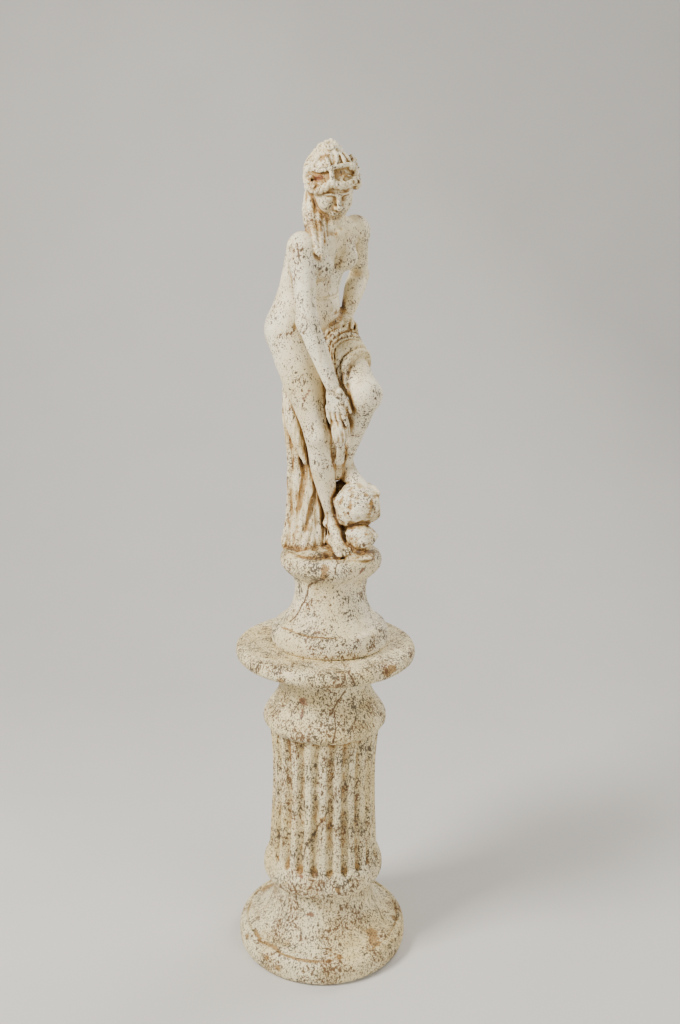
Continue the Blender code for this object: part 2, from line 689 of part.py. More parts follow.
def drapery(clay):
    """Cloth over the thigh, hanging between the legs, crumpled under one hand and bunched in the other."""
    clay.add(thigh_cloth(), 2)
    # Panel hanging between the legs
    clay.add(
        loft(
            (2, -4, 352),
            (8, 18, 140),
            (0.2, -1, 0),
            (0, 0.4, 1),
            (27, 23, 20),
            (12, 11, 12),
            (14, 12, 14),
        ),
        6,
    )
    for i in range(4):
        clay.tube(
            [
                (-4 + i * 7, -24 + i * 2, 350, 5),
                (i * 7, -27, 318, 6),
                (2 + i * 7, -23 + i, 282, 6),
                (2 + i * 7, -10, 230, 6),
                (2 + i * 6, 0, 170, 6),
            ],
            3,
        )
    # Crumpled cloth gathered under the left hand
    for i in range(6):
        a = np.radians(-70 + 34 * i)
        top = WRIST_L + vec(-2 + 14 * np.sin(a), -24 - 7 * np.cos(a), -10)
        low = WRIST_L + vec(-4 + 24 * np.sin(a), -32 - 12 * np.cos(a), -34)
        bend = vec(2 * np.sin(7 * a), -2, 3)
        clay.tube(
            [tuple(top) + (2.5,), tuple(top * 0.5 + low * 0.5 + bend) + (4.2,), tuple(low) + (3,)], 2
        )
    # Bunch gathered in the right hand
    clay.add(
        loft(
            (14, -52, 262),
            (16, -46, 206),
            (0, -1, 0),
            (0, 0.3, 0.7, 1),
            (9, 13, 13, 7),
            (8, 12, 12, 7),
            (8, 10, 10, 7),
        ),
        4,
    )
    for i in range(5):
        a = np.radians(-60 + 30 * i)
        row = []
        for twist, z, ring, r in (
            (0, 262, 7, 2.5), (0.3, 240, 15, 4), (0.7, 222, 14, 3.5), (0.9, 204, 6, 2.5)
        ):
            row.append((15.5 + ring * np.sin(a + twist), -49 - ring * 0.9 * np.cos(a + twist), z, r))
        clay.tube(row, 1.6)
    clay.tube([(16, -44, 216, 6), (18, -30, 196, 7), (16, -12, 180, 7), (12, 8, 160, 8)], 5)


def support(clay):
    """Cloth falling behind the standing leg to the ground."""
    clay.add(
        loft(
            (-50, 44, 306),
            (-44, 46, 10),
            (0, -1, 0),
            (0, 0.3, 0.7, 1),
            (28, 29, 28, 34),
            (20, 20, 22, 28),
            (24, 28, 28, 34),
        ),
        12,
    )
    sides = 12
    for i in range(sides):
        a = 2 * np.pi * i / sides
        sway = 5 * np.sin(i * 2.3)
        spread = vec(np.cos(a), np.sin(a), 0)
        top = vec(-50, 46, 300 - 6 * np.cos(3 * a)) + spread * 27
        middle = vec(-44 + sway, 50, 160) + spread * 32
        low = vec(-38, 48, 50) + spread * 33
        hem = vec(-44, 46, 5) + spread * 41
        rows = zip((top, middle, low, hem), (7, 8.5 + sway * 0.3, 9, 11))
        clay.tube([tuple(p) + (q,) for p, q in rows], 5, count=14)
    sweeps = 7
    for i in range(sweeps):
        t = i / (sweeps - 1)
        top = vec(-78 + 58 * t, 48 - 20 * t, 285 - 190 * t**0.8)
        bottom = vec(-84 + 72 * t, 36 - 40 * np.sin(np.pi * (0.15 + 0.7 * t)), 4)
        middle = top * 0.5 + bottom * 0.5 + vec(6 - 3 * t, -4, 0)
        low = top * 0.16 + bottom * 0.84 + vec(5, 5, 0)
        r = 8.5 - 3.5 * t
        clay.tube(
            [tuple(top) + (r,), tuple(middle) + (r,), tuple(low) + (r,), tuple(bottom) + (r + 1.5,)],
            3,
            count=16,
        )
    # Deep gaps between the hanging folds
    clay.tube(
        [(-47, 8, 172, 3), (-50, 10, 135, 5), (-56, 8, 95, 5), (-62, 8, 62, 3)], 2, count=12, cut=True
    )
    clay.tube(
        [(-30, 16, 112, 3), (-34, 12, 84, 6), (-41, 4, 52, 6), (-50, -6, 20, 3)], 2, count=12, cut=True
    )
    clay.tube([(-13, 16, 72, 3), (-8, 14, 48, 7), (-6, 8, 22, 7), (-6, 4, 8, 4)], 2, count=10, cut=True)
    for i in range(3):
        clay.tube([(-15 + i * 6, 24, 66, 2.2), (-14 + i * 5, 18, 38, 2.2), (-16 + i * 6, 8, 10, 2.6)], 1)
    # Two loose ends beside the thigh
    clay.tube([(-80, 42, 300, 13), (-73, 26, 255, 17), (-60, 14, 205, 13), (-46, 8, 164, 5)], 6)
    clay.tube([(-84, 56, 292, 9), (-82, 44, 250, 12), (-76, 34, 196, 9), (-70, 32, 146, 5)], 5)


def stone(centre, radii, facets, seed, axes=None, share=0.84):
    """A rounded stone with flat facets struck off it all round."""
    whole = ball(centre, radii, axes)
    radii = np.asarray(radii, float) * np.ones(3)
    axes = np.eye(3) if axes is None else axes
    random = np.random.default_rng(seed)
    ways = random.normal(size=(facets, 3))
    ways /= np.linalg.norm(ways, axis=1, keepdims=True)

    def distance(p):
        d = whole.distance(p)
        q = (p - np.asarray(centre, float)) @ axes.T
        for way in ways:
            support = np.linalg.norm(way * radii)
            d = smooth_max(d, q @ way - support * share, 3)
        return d

    return Shape(distance, whole.low, whole.high)


def rocks(clay):
    tilted = np.stack(turned_frame(20, 8, 4))
    clay.add(stone((51, 3, 86), (54, 51, 46), 16, 5, tilted), 3)
    clay.add(stone((46, 10, 66), (37, 37, 33), 12, 8), 4)
    clay.add(ball((24, 38, 94), (30, 26, 34)), 8)
    clay.add(stone((59, -27, 30), (33, 30, 28), 12, 11), 2)
    clay.add(ball((30, 58, 40), (42, 30, 44)), 12)
    # Ground and a flat stone
    clay.add(ball((SOCLE_SHIFT, 2, -10), (GROUND_RADIUS, GROUND_RADIUS, 15)), 6)
    clay.add(ball((-30, -52, 3), (28, 18, 7)), 4)
    clay.add(ball((52, -44, 0), (32, 30, 8)), 5)


def figure(points):
    """Distance from the figure, its cloth, support, rocks and ground at every point."""
    clay = Clay(points)
    body(clay)
    arms(clay)
    legs(clay)
    head(clay)
    hand(clay, WRIST_R, vec(0.14, 0.12, -0.97), vec(0.55, 0.80, 0.1), 84, 0.07, 0.18, 0.35, -1)
    hand(clay, WRIST_L, vec(-0.10, -0.93, -0.30), vec(-0.1, 0.3, -1), 64, 0.14, 0.30, 0.75, 1)
    tresses = Clay(points)
    hair(tresses)
    clay.join(tresses, 1.5)
    draped = Clay(points)
    drapery(draped)
    support(draped)
    rocks(draped)
    clay.join(draped, 3)
    return clay.d


FIELD_LOW = (-150, -125, -30)
FIELD_HIGH = (130, 190, 750)
COARSE = 4
CHUNK = 150000


def measure(points):
    """The figure's distance at scattered points, worked through from the ground up."""
    order = np.argsort(points[:, 2], kind="stable")
    out = np.empty(len(points))
    for i in range(0, len(points), CHUNK):
        out[order[i : i + CHUNK]] = figure(points[order[i : i + CHUNK]])
    return out


def sample(h):
    """Distances on a grid of this step: exact near the surface, only inside or outside away from it."""
    block = h * COARSE
    low = np.asarray(FIELD_LOW, float)
    n = np.ceil((np.asarray(FIELD_HIGH) - low) / block).astype(int)
    axes = [low[i] + block * (np.arange(n[i]) + 0.5) for i in range(3)]
    centres = np.stack(np.meshgrid(*axes, indexing="ij"), -1).reshape(-1, 3)
    rough = measure(centres)
    fill = np.repeat((np.sign(rough) * block).astype(np.float32), COARSE**3).reshape(len(centres), -1)
    hot = np.flatnonzero(np.abs(rough) < block * 0.95 + 4)
    offsets = (np.arange(COARSE) + 0.5) * h - block / 2
    inner = np.stack(np.meshgrid(offsets, offsets, offsets, indexing="ij"), -1).reshape(-1, 3)
    fine = measure((centres[hot][:, None, :] + inner[None]).reshape(-1, 3))
    fill[hot] = fine.reshape(len(hot), -1)
    grid = fill.reshape(*n, COARSE, COARSE, COARSE).transpose(0, 3, 1, 4, 2, 5).reshape(n * COARSE)
    return grid, low + 0.5 * h


def corner_views(a):
    """The eight corners of every cell of a grid."""
    nx, ny, nz = (s - 1 for s in a.shape)
    return [a[i : i + nx, j : j + ny, k : k + nz] for i in (0, 1) for j in (0, 1) for k in (0, 1)]


def fill_pinches(grid):
    """Fills places where the surface would touch itself only along an edge or at a corner."""
    for _ in range(12):
        solid = grid < 0
        fill = np.zeros_like(solid)
        for a, b in ((0, 1), (0, 2), (1, 2)):
            here = [slice(None)] * 3
            views = {}
            for i in (0, 1):
                for j in (0, 1):
                    here[a] = slice(i, solid.shape[a] - 1 + i)
                    here[b] = slice(j, solid.shape[b] - 1 + j)
                    views[i, j] = tuple(here)
            s = {key: solid[view] for key, view in views.items()}
            cross = (s[0, 0] == s[1, 1]) & (s[0, 1] == s[1, 0]) & (s[0, 0] != s[0, 1])
            for view in views.values():
                fill[view] |= cross
        corners = corner_views(solid)
        count = sum(c.astype(np.int8) for c in corners)
        twin = np.zeros(count.shape, bool)
        for i in range(4):
            same = corners[i] == corners[7 - i]
            twin |= same & (((count == 2) & corners[i]) | ((count == 6) & ~corners[i]))
        for view in corner_views(fill):
            view |= twin
        change = fill & ~solid
        if not change.any():
            return
        grid[change] = -0.05


def surface_of(grid, origin, h):
    """The quad mesh of the grid's zero level, one point in each cell that it crosses."""
    solid = grid < 0
    corners = [(i, j, k) for i in (0, 1) for j in (0, 1) for k in (0, 1)]
    count = sum(c.astype(np.int8) for c in corner_views(solid))
    cells = np.argwhere((count > 0) & (count < 8))
    index = np.full(count.shape, -1, np.int64)
    index[tuple(cells.T)] = np.arange(len(cells))
    values = np.stack(
        [grid[cells[:, 0] + i, cells[:, 1] + j, cells[:, 2] + k] for i, j, k in corners], 1
    )
    values = np.clip(values, -1.8 * h, 1.8 * h)
    total = np.zeros((len(cells), 3))
    number = np.zeros(len(cells))
    place = np.array(corners, float)
    for a in range(8):
        for axis in range(3):
            if corners[a][axis]:
                continue
            b = a + (4 >> axis)
            crossed = (values[:, a] < 0) != (values[:, b] < 0)
            gap = np.where(crossed, values[:, a] - values[:, b], 1)
            t = np.where(crossed, values[:, a] / gap, 0)
            total += np.where(crossed[:, None], place[a] + t[:, None] * (place[b] - place[a]), 0)
            number += crossed
    points = origin + h * (cells + total / number[:, None])
    quads = []
    for axis in range(3):
        u, w = (axis + 1) % 3, (axis + 2) % 3
        first = [slice(None)] * 3
        second = [slice(None)] * 3
        first[axis] = slice(0, -1)
        second[axis] = slice(1, None)
        a, b = solid[tuple(first)], solid[tuple(second)]
        for crossing, back in ((a & ~b, False), (~a & b, True)):
            p = np.argwhere(crossing)
            ring = []
            for du, dw in ((1, 1), (0, 1), (0, 0), (1, 0)):
                q = p.copy()
                q[:, u] -= du
                q[:, w] -= dw
                ring.append(index[tuple(q.T)])
            ring = np.stack(ring, 1)
            quads.append(ring[:, ::-1] if back else ring)
    return points, np.concatenate(quads)


def normals_of(points, quads):
    d = np.cross(points[quads[:, 2]] - points[quads[:, 0]], points[quads[:, 3]] - points[quads[:, 1]])
    sums = [sum(np.bincount(quads[:, j], d[:, a], len(points)) for j in range(4)) for a in range(3)]
    n = np.stack(sums, 1)
    return n / np.maximum(np.linalg.norm(n, axis=1, keepdims=True), 1e-12)


def settle(points, quads, h, rounds=2):
    """Moves the points of the mesh onto the figure's own surface."""
    for _ in range(rounds):
        step = np.clip(measure(points) * 0.9, -0.5 * h, 0.5 * h)
        points = points - normals_of(points, quads) * step[:, None]
    return points


def outer_surface(points, quads):
    """Only the outermost closed surface, without the walls of hollows shut up inside."""
    label = np.arange(len(points))
    ends = np.concatenate([quads[:, [i, (i + 1) % 4]] for i in range(4)])
    while True:
        a, b = label[ends[:, 0]], label[ends[:, 1]]
        apart = a != b
        if not apart.any():
            break
        label[np.maximum(a, b)[apart]] = np.minimum(a, b)[apart]
        while (label[label] != label).any():
            label = label[label]
    piece = label[quads[:, 0]]
    kept = quads[piece == np.bincount(piece).argmax()]
    used = np.unique(kept)
    index = np.full(len(points), -1, np.int64)
    index[used] = np.arange(len(used))
    return points[used], index[kept]


def mesh_object(name, points, faces):
    mesh = bpy.data.meshes.new(name)
    mesh.from_pydata(np.asarray(points).tolist(), [], [list(map(int, f)) for f in faces])
    obj = bpy.data.objects.new(name, mesh)
    bpy.context.collection.objects.link(obj)
    return obj


def painted(obj, name, colour, roughness):
    material = bpy.data.materials.new(name)
    material.use_nodes = True
    shader = material.node_tree.nodes["Principled BSDF"]
    shader.inputs["Base Color"].default_value = (*colour, 1)
    shader.inputs["Roughness"].default_value = roughness
    obj.data.materials.clear()
    obj.data.materials.append(material)


def evaluated(obj, name):
    """A new object that holds another's shape with its modifiers carried out."""
    graph = bpy.context.evaluated_depsgraph_get()
    mesh = bpy.data.meshes.new_from_object(obj.evaluated_get(graph))
    mesh.name = name
    made = bpy.data.objects.new(name, mesh)
    bpy.context.collection.objects.link(made)
    return made


def spun(name, rings, centre=(0.0, 0.0)):
    """A closed turned body from rings of height and radii; a ring has as many sides as it has radii."""
    points = []
    faces = []
    starts = []
    for z, radii in rings:
        starts.append(len(points))
        turn = 2 * np.pi * np.arange(len(radii)) / len(radii)
        for r, a in zip(radii, turn):
            points.append((centre[0] + r * np.cos(a), centre[1] + r * np.sin(a), z))
    for (_, lower), (_, upper), a, b in zip(rings[:-1], rings[1:], starts[:-1], starts[1:]):
        n, m = len(lower), len(upper)
        for i in range(max(n, m)):
            j = i + 1
            if n == m:
                faces.append((a + i, a + j % n, b + j % n, b + i))
            elif n < m:
                step = m // n
                faces.append((b + j % m, b + i, a + (i // step) % n))
                if j % step == 0:
                    faces.append((a + i // step, a + (i // step + 1) % n, b + j % m))
            else:
                step = n // m
                faces.append((a + i, a + j % n, b + (i // step) % m))
                if j % step == 0:
                    faces.append((a + j % n, b + (i // step + 1) % m, b + i // step))
    faces.append(tuple(reversed(range(starts[0], starts[0] + len(rings[0][1])))))
    faces.append(tuple(range(starts[-1], starts[-1] + len(rings[-1][1]))))
    return mesh_object(name, points, faces)


def moulding(shares, base_z, height, base_radius, radius):
    """Heights and radii of a moulding, from shares of its height and of the way between two radii."""
    return [(base_z + z * height, base_radius + r * (radius - base_radius)) for z, r in shares]


def fluted_ring(z, radius, depth):
    """A ring of the shaft with its flutes sunk to this depth; a ridge between two faces the front."""
    sides = FLUTES * SIDES_PER_FLUTE
    place = ((np.arange(sides) + SIDES_PER_FLUTE / 2) % SIDES_PER_FLUTE) / SIDES_PER_FLUTE
    across = np.abs(place - 0.5) * 2
    sunk = np.sqrt(np.clip(1 - (across / FLUTE_SHARE) ** 2, 0, 1))
    return (z, radius - depth * sunk)


def build_pedestal():
    plain = np.ones(PLAIN_SIDES)
    profile = []
    plate = ((0, 0.94), (0.08, 0.978), (0.32, 1), (0.6, 1), (0.82, 0.978), (0.95, 0.942), (1, 0.915))
    profile += moulding(plate, 0, PLATE_HEIGHT, 0, PLATE_RADIUS)
    lip = PLATE_RADIUS * 0.885
    profile.append((PLATE_HEIGHT - GROOVE_DEPTH, PLATE_RADIUS * 0.90))
    cove = ((0, 0), (0.065, 0.28), (0.21, 0.63), (0.45, 0.90), (1, 1))
    profile += moulding(cove, PLATE_HEIGHT, FOOT_HEIGHT, lip, WAIST_RADIUS)
    z = PLATE_HEIGHT + FOOT_HEIGHT
    ring = ((0.06, 0.5), (0.15, 0.85), (0.29, 1), (0.48, 1), (0.75, 0.75))
    profile += moulding(ring, z, RING_HEIGHT, WAIST_RADIUS, RING_RADIUS)
    rings = [(height, plain * radius) for height, radius in profile]
    z += RING_HEIGHT
    # The flutes end in round scoops on the ring below and run up to the capital
    rings.append(fluted_ring(z, SHAFT_RADIUS * 1.01, 0.45 * FLUTE_DEPTH))
    rings.append(fluted_ring(z + 0.08 * SHAFT_HEIGHT, SHAFT_RADIUS, FLUTE_DEPTH))
    rings.append(fluted_ring(z + 0.5 * SHAFT_HEIGHT, SHAFT_RADIUS, FLUTE_DEPTH))
    rings.append(fluted_ring(z + 0.97 * SHAFT_HEIGHT, SHAFT_RADIUS, FLUTE_DEPTH))
    z += SHAFT_HEIGHT
    rings.append((z, plain * SHAFT_RADIUS * 1.01))
    capital = (
        (0.03, 0.80),
        (0.12, 1),
        (0.21, 1),
        (0.31, 0.87),
        (0.49, 0.50),
        (0.66, 0.18),
        (0.82, 0.02),
        (1, 0),
    )
    rings += [
        (h, plain * r) for h, r in moulding(capital, z, CAPITAL_HEIGHT, THROAT_RADIUS, CAPITAL_RADIUS)
    ]
    z += CAPITAL_HEIGHT
    under = ((0.5, 0.07), (0.86, 0.30), (1, 0.69))
    rings += [(h, plain * r) for h, r in moulding(under, z, NECKING_HEIGHT, THROAT_RADIUS, DISC_RADIUS)]
    z += NECKING_HEIGHT
    disc = ((0.04, 0.94), (0.22, 0.985), (0.5, 1), (0.8, 0.985), (0.97, 0.94), (1, 0.905))
    rings += [(h, plain * r) for h, r in moulding(disc, z, DISC_HEIGHT, 0, DISC_RADIUS)]
    pedestal = spun("pedestal", rings)
    painted(pedestal, "painted_stone_pedestal", (0.74, 0.69, 0.58), 0.7)
    return z + DISC_HEIGHT


def build_socle(z):
    """The turned socle, whose top holds the figure's ground."""
    plain = np.ones(SOCLE_SIDES)
    profile = []
    base = ((0, 0.955), (0.10, 0.985), (0.32, 1), (0.62, 0.982), (0.88, 0.94), (1, 0.905))
    profile += moulding(base, z, SOCLE_BASE_HEIGHT, 0, SOCLE_RADIUS)
    z += SOCLE_BASE_HEIGHT
    stem = (
        (0.01, 0.90),
        (0.10, 0.66),
        (0.22, 0.36),
        (0.38, 0.15),
        (0.57, 0.02),
        (0.73, 0),
        (0.89, 0.07),
        (1, 0.18),
    )
    profile += moulding(stem, z, SOCLE_STEM_HEIGHT, SOCLE_STEM_RADIUS, SOCLE_RADIUS * 0.885)
    z += SOCLE_STEM_HEIGHT
    top = ((0.05, 0.83), (0.19, 0.90), (0.40, 0.98), (0.62, 1), (0.80, 0.982), (0.90, 0.955), (1, 0.90))
    profile += moulding(top, z, SOCLE_TOP_HEIGHT, 0, SOCLE_TOP_RADIUS)
    z += SOCLE_TOP_HEIGHT
    rings = [(height, plain * radius) for height, radius in profile]
    return spun("socle", rings, (STATUE_OFFSET, 0.0)), z


def build_figure(ground):
    grid, origin = sample(FIGURE_STEP)
    fill_pinches(grid)
    points, quads = outer_surface(*surface_of(grid, origin, FIGURE_STEP))
    points = settle(points, quads, FIGURE_STEP)
    place = vec(STATUE_OFFSET - SOCLE_SHIFT * SCALE, 0, ground)
    figure_object = mesh_object("figure", points * SCALE + place, quads)
    thin = figure_object.modifiers.new("thin", "DECIMATE")
    thin.ratio = FIGURE_TRIANGLES / (2 * len(quads))
    made = evaluated(figure_object, "figure_thinned")
    bpy.data.objects.remove(figure_object)
    return made


def build_statue(pedestal_top):
    socle, ground = build_socle(pedestal_top + REST_GAP)
    figure_object = build_figure(ground)
    union = socle.modifiers.new("union", "BOOLEAN")
    union.operation = "UNION"
    union.solver = "EXACT"
    union.object = figure_object
    statue = evaluated(socle, "statue")
    painted(statue, "painted_stone_statue", (0.76, 0.71, 0.60), 0.7)
    for helper in (socle, figure_object):
        bpy.data.objects.remove(helper)


for old in list(bpy.data.objects):
    bpy.data.objects.remove(old)
build_statue(build_pedestal())
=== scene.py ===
import math

import bmesh
import bpy
import numpy as np
from mathutils import Matrix, Vector


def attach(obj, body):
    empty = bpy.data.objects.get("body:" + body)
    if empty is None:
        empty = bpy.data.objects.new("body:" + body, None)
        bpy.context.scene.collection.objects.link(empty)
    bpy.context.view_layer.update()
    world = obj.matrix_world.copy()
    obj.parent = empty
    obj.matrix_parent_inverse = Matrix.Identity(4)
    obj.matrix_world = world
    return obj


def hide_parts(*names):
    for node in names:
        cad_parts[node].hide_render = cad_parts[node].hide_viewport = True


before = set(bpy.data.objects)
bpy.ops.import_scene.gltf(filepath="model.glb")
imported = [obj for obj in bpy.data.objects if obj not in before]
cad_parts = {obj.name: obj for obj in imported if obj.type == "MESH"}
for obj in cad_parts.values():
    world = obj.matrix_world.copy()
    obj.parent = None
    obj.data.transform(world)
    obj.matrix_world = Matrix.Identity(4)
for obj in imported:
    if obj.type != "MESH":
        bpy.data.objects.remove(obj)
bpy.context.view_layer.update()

# Pedestal, in metres: a round plate, a fluted shaft between two mouldings, and a round top
PLATE_RADIUS = 0.170
PLATE_HEIGHT = 0.050
FOOT_HEIGHT = 0.098
WAIST_RADIUS = 0.099
RING_RADIUS = 0.1205
RING_HEIGHT = 0.059
SHAFT_RADIUS = 0.108
SHAFT_HEIGHT = 0.2695
CAPITAL_RADIUS = 0.1205
CAPITAL_HEIGHT = 0.1015
THROAT_RADIUS = 0.088
NECKING_HEIGHT = 0.036
DISC_RADIUS = 0.1735
DISC_HEIGHT = 0.0325
FLUTES = 22
FLUTE_DEPTH = 0.0075
GROOVE_DEPTH = 0.0030

# Statue, in metres: a round socle under the figure
REST_GAP = 0.0003
STATUE_OFFSET = 0.008
SOCLE_RADIUS = 0.1141
SOCLE_BASE_HEIGHT = 0.0410
SOCLE_STEM_RADIUS = 0.068
SOCLE_STEM_HEIGHT = 0.0950
SOCLE_TOP_RADIUS = 0.0967
SOCLE_TOP_HEIGHT = 0.0465
FIGURE_HEIGHT = 0.7335

# The figure is drawn this tall, in millimetres, and every size in its own part is a share of that
DRAWN_HEIGHT = 733.5
SCALE = FIGURE_HEIGHT / DRAWN_HEIGHT
SOCLE_SHIFT = 3.0
GROUND_RADIUS = 0.87 * SOCLE_TOP_RADIUS / SCALE

# How finely the carving is divided: the grid's step in drawn millimetres, and the faces kept of it
FIGURE_STEP = 1.5
STATUE_TRIANGLES = 190000
PEDESTAL_COLUMNS = 352
PEDESTAL_ROWS = 275


# How far a shape's influence reaches past its own box, in drawn millimetres
REACH = 12.0
FAR = 1000.0


def vec(x, y, z):
    return np.array([x, y, z], float)


def unit(v):
    v = np.asarray(v, float)
    return v / np.linalg.norm(v)


def smooth_min(a, b, k):
    if k <= 0:
        return np.minimum(a, b)
    h = np.maximum(k - np.abs(a - b), 0) / k
    return np.minimum(a, b) - h * h * k * 0.25


def smooth_max(a, b, k):
    return -smooth_min(-a, -b, k)


def curve(stations, values):
    """A smooth curve through the values at the stations; each row of values may hold several numbers."""
    stations = np.asarray(stations, float)
    values = np.asarray(values, float)
    slope = np.gradient(values, stations, axis=0)

    def at(t):
        t = np.clip(t, stations[0], stations[-1])
        i = np.clip(np.searchsorted(stations, t, side="right") - 1, 0, len(stations) - 2)
        step = stations[i + 1] - stations[i]
        u = (t - stations[i]) / step
        a = (1 + 2 * u) * (1 - u) ** 2
        b = u * (1 - u) ** 2
        c = u * u * (3 - 2 * u)
        d = u * u * (u - 1)
        if values.ndim > 1:
            step, a, b, c, d = (x[:, None] for x in (step, a, b, c, d))
        return a * values[i] + b * step * slope[i] + c * values[i + 1] + d * step * slope[i + 1]

    return at


def along(points, count):
    """Points spaced evenly along the smooth curve through the given ones; a row may carry a radius."""
    points = np.asarray(points, float)
    gaps = np.linalg.norm(np.diff(points[:, :3], axis=0), axis=1)
    reach = np.r_[0, np.cumsum(gaps)]
    return curve(reach, points)(np.linspace(0, reach[-1], count + 1))


class Shape:
    """A distance function with the box that it fills."""

    def __init__(self, distance, low, high):
        self.distance = distance
        self.low = np.asarray(low, float)
        self.high = np.asarray(high, float)


def cone(a, b, ra, rb):
    """A round-ended cone from a to b."""
    a = np.asarray(a, float)
    b = np.asarray(b, float)
    axis = b - a
    length2 = axis @ axis
    taper = ra - rb
    a2 = length2 - taper * taper

    def distance(p):
        q = p - a
        y = q @ axis
        z = y - length2
        w = q * length2 - y[:, None] * axis
        x2 = (w * w).sum(1)
        k = np.sign(taper) * taper * taper * x2
        d = (np.sqrt(np.maximum(x2 * a2 / length2, 0)) + y * taper) / length2 - ra
        d = np.where(np.sign(y) * a2 * y * y * length2 < k, np.sqrt(x2 + y * y * length2) / length2 - ra, d)
        return np.where(
            np.sign(z) * a2 * z * z * length2 > k, np.sqrt(x2 + z * z * length2) / length2 - rb, d
        )

    r = max(ra, rb)
    return Shape(distance, np.minimum(a, b) - r, np.maximum(a, b) + r)


def ball(centre, radii, axes=None):
    """An ellipsoid with its radii along the rows of axes."""
    centre = np.asarray(centre, float)
    radii = np.asarray(radii, float) * np.ones(3)
    axes = np.eye(3) if axes is None else np.asarray(axes, float)

    def distance(p):
        q = (p - centre) @ axes.T
        k0 = np.sqrt(((q / radii) ** 2).sum(1))
        k1 = np.sqrt(((q / radii**2) ** 2).sum(1))
        return k0 * (k0 - 1) / np.maximum(k1, 1e-9)

    reach = np.sqrt(((axes * radii[:, None]) ** 2).sum(0))
    return Shape(distance, centre - reach, centre + reach)


def loft(a, b, front, stations, side, fore, back):
    """A round-ended limb from a to b, with half widths across, in front and behind at the stations."""
    a = np.asarray(a, float)
    b = np.asarray(b, float)
    length = np.linalg.norm(b - a)
    axis = (b - a) / length
    front = unit(np.asarray(front, float) - axis * (np.asarray(front, float) @ axis))
    across = np.cross(front, axis)
    widths, fores, backs = curve(stations, side), curve(stations, fore), curve(stations, back)
    most = max(max(side), max(fore), max(back))

    def distance(p):
        q = p - a
        t = (q @ axis) / length
        inside = np.clip(t, 0, 1)
        v = q @ front
        u = q @ across
        w = widths(inside)
        ahead, behind = fores(inside), backs(inside)
        d = np.where(v > 0, ahead, behind)
        over = (t - inside) * length
        cap = np.minimum(w, np.minimum(ahead, behind))
        rho = np.sqrt((u / w) ** 2 + (v / d) ** 2 + (over / cap) ** 2)
        steep = np.sqrt((u / w**2) ** 2 + (v / d**2) ** 2 + (over / cap**2) ** 2)
        return rho * (rho - 1) / np.maximum(steep, 1e-6)

    return Shape(distance, np.minimum(a, b) - most, np.maximum(a, b) + most)


class Clay:
    """A distance at every given point, built up by adding and cutting shapes."""

    def __init__(self, points):
        self.points = points
        self.low = points.min(0)
        self.high = points.max(0)
        self.d = np.full(len(points), FAR)

    def near(self, low, high, margin):
        if (self.low > high + margin).any() or (self.high < low - margin).any():
            return np.empty(0, int)
        p = self.points
        inside = np.ones(len(p), bool)
        for i in range(3):
            inside &= (p[:, i] > low[i] - margin) & (p[:, i] < high[i] + margin)
        return np.flatnonzero(inside)

    def add(self, shape, k=3):
        i = self.near(shape.low, shape.high, k + REACH)
        if len(i):
            self.d[i] = smooth_min(self.d[i], shape.distance(self.points[i]), k)

    def cut(self, shape, k=3):
        i = self.near(shape.low, shape.high, k + REACH)
        if len(i):
            self.d[i] = smooth_max(self.d[i], -shape.distance(self.points[i]), k)

    def tube(self, rows, k=2, count=8, cut=False):
        """A cord along the smooth curve through rows of x, y, z and radius."""
        q = along(rows, count)
        low = (q[:, :3] - q[:, 3:4]).min(0)
        high = (q[:, :3] + q[:, 3:4]).max(0)
        i = self.near(low, high, k + REACH)
        if not len(i):
            return
        p = self.points[i]
        d = np.full(len(i), FAR)
        for u, v in zip(q[:-1], q[1:]):
            part = cone(u[:3], v[:3], max(u[3], 0.1), max(v[3], 0.1))
            j = np.flatnonzero(((p > part.low - k - REACH) & (p < part.high + k + REACH)).all(1))
            if len(j):
                d[j] = np.minimum(d[j], part.distance(p[j]))
        self.d[i] = smooth_max(self.d[i], -d, k) if cut else smooth_min(self.d[i], d, k)

    def join(self, other, k):
        self.d = smooth_min(self.d, other.d, k)


def heading(degrees):
    """Forward, left and up of a body that faces this far to the right of straight ahead."""
    a = np.radians(degrees)
    return vec(np.sin(a), -np.cos(a), 0), vec(np.cos(a), np.sin(a), 0), vec(0, 0, 1)


def turned_frame(turn, nod, tip):
    """Forward, left and up after a turn, a nod downwards and a tip to the side."""
    forward, left, up = heading(turn)
    n = np.radians(nod)
    t = np.radians(tip)
    forward, up = forward * np.cos(n) - up * np.sin(n), up * np.cos(n) + forward * np.sin(n)
    return forward, left * np.cos(t) + up * np.sin(t), up * np.cos(t) - left * np.sin(t)


# The joints of the figure, in drawn millimetres from the middle of the socle's top
PELVIS = vec(-49, 40, 396)
HIP_R, KNEE_R, ANKLE_R = vec(-77, 8, 410), vec(-25, -14, 218), vec(5, 16, 50)
HIP_L, KNEE_L, ANKLE_L = vec(-18, 66, 402), vec(61, -56, 300), vec(27, 30, 158)
SHOULDER_R, ELBOW_R, WRIST_R = vec(-54, -42, 548), vec(-44, -66, 428), vec(2, -70, 316)
SHOULDER_L, ELBOW_L, WRIST_L = vec(40, 60, 584), vec(49, 140, 507), vec(26, 56, 436)
HEAD = vec(-4, -11, 657)
HEAD_TURN, HEAD_NOD, HEAD_TIP = 20, 35, 8
BODY_TURN = 45
FORWARD, LEFT, UP = heading(BODY_TURN)
BODY_AXES = np.stack([LEFT, FORWARD, UP])
FACE, HEAD_LEFT, CROWN = turned_frame(HEAD_TURN, HEAD_NOD, HEAD_TIP)
HEAD_AXES = np.stack([HEAD_LEFT, FACE, CROWN])

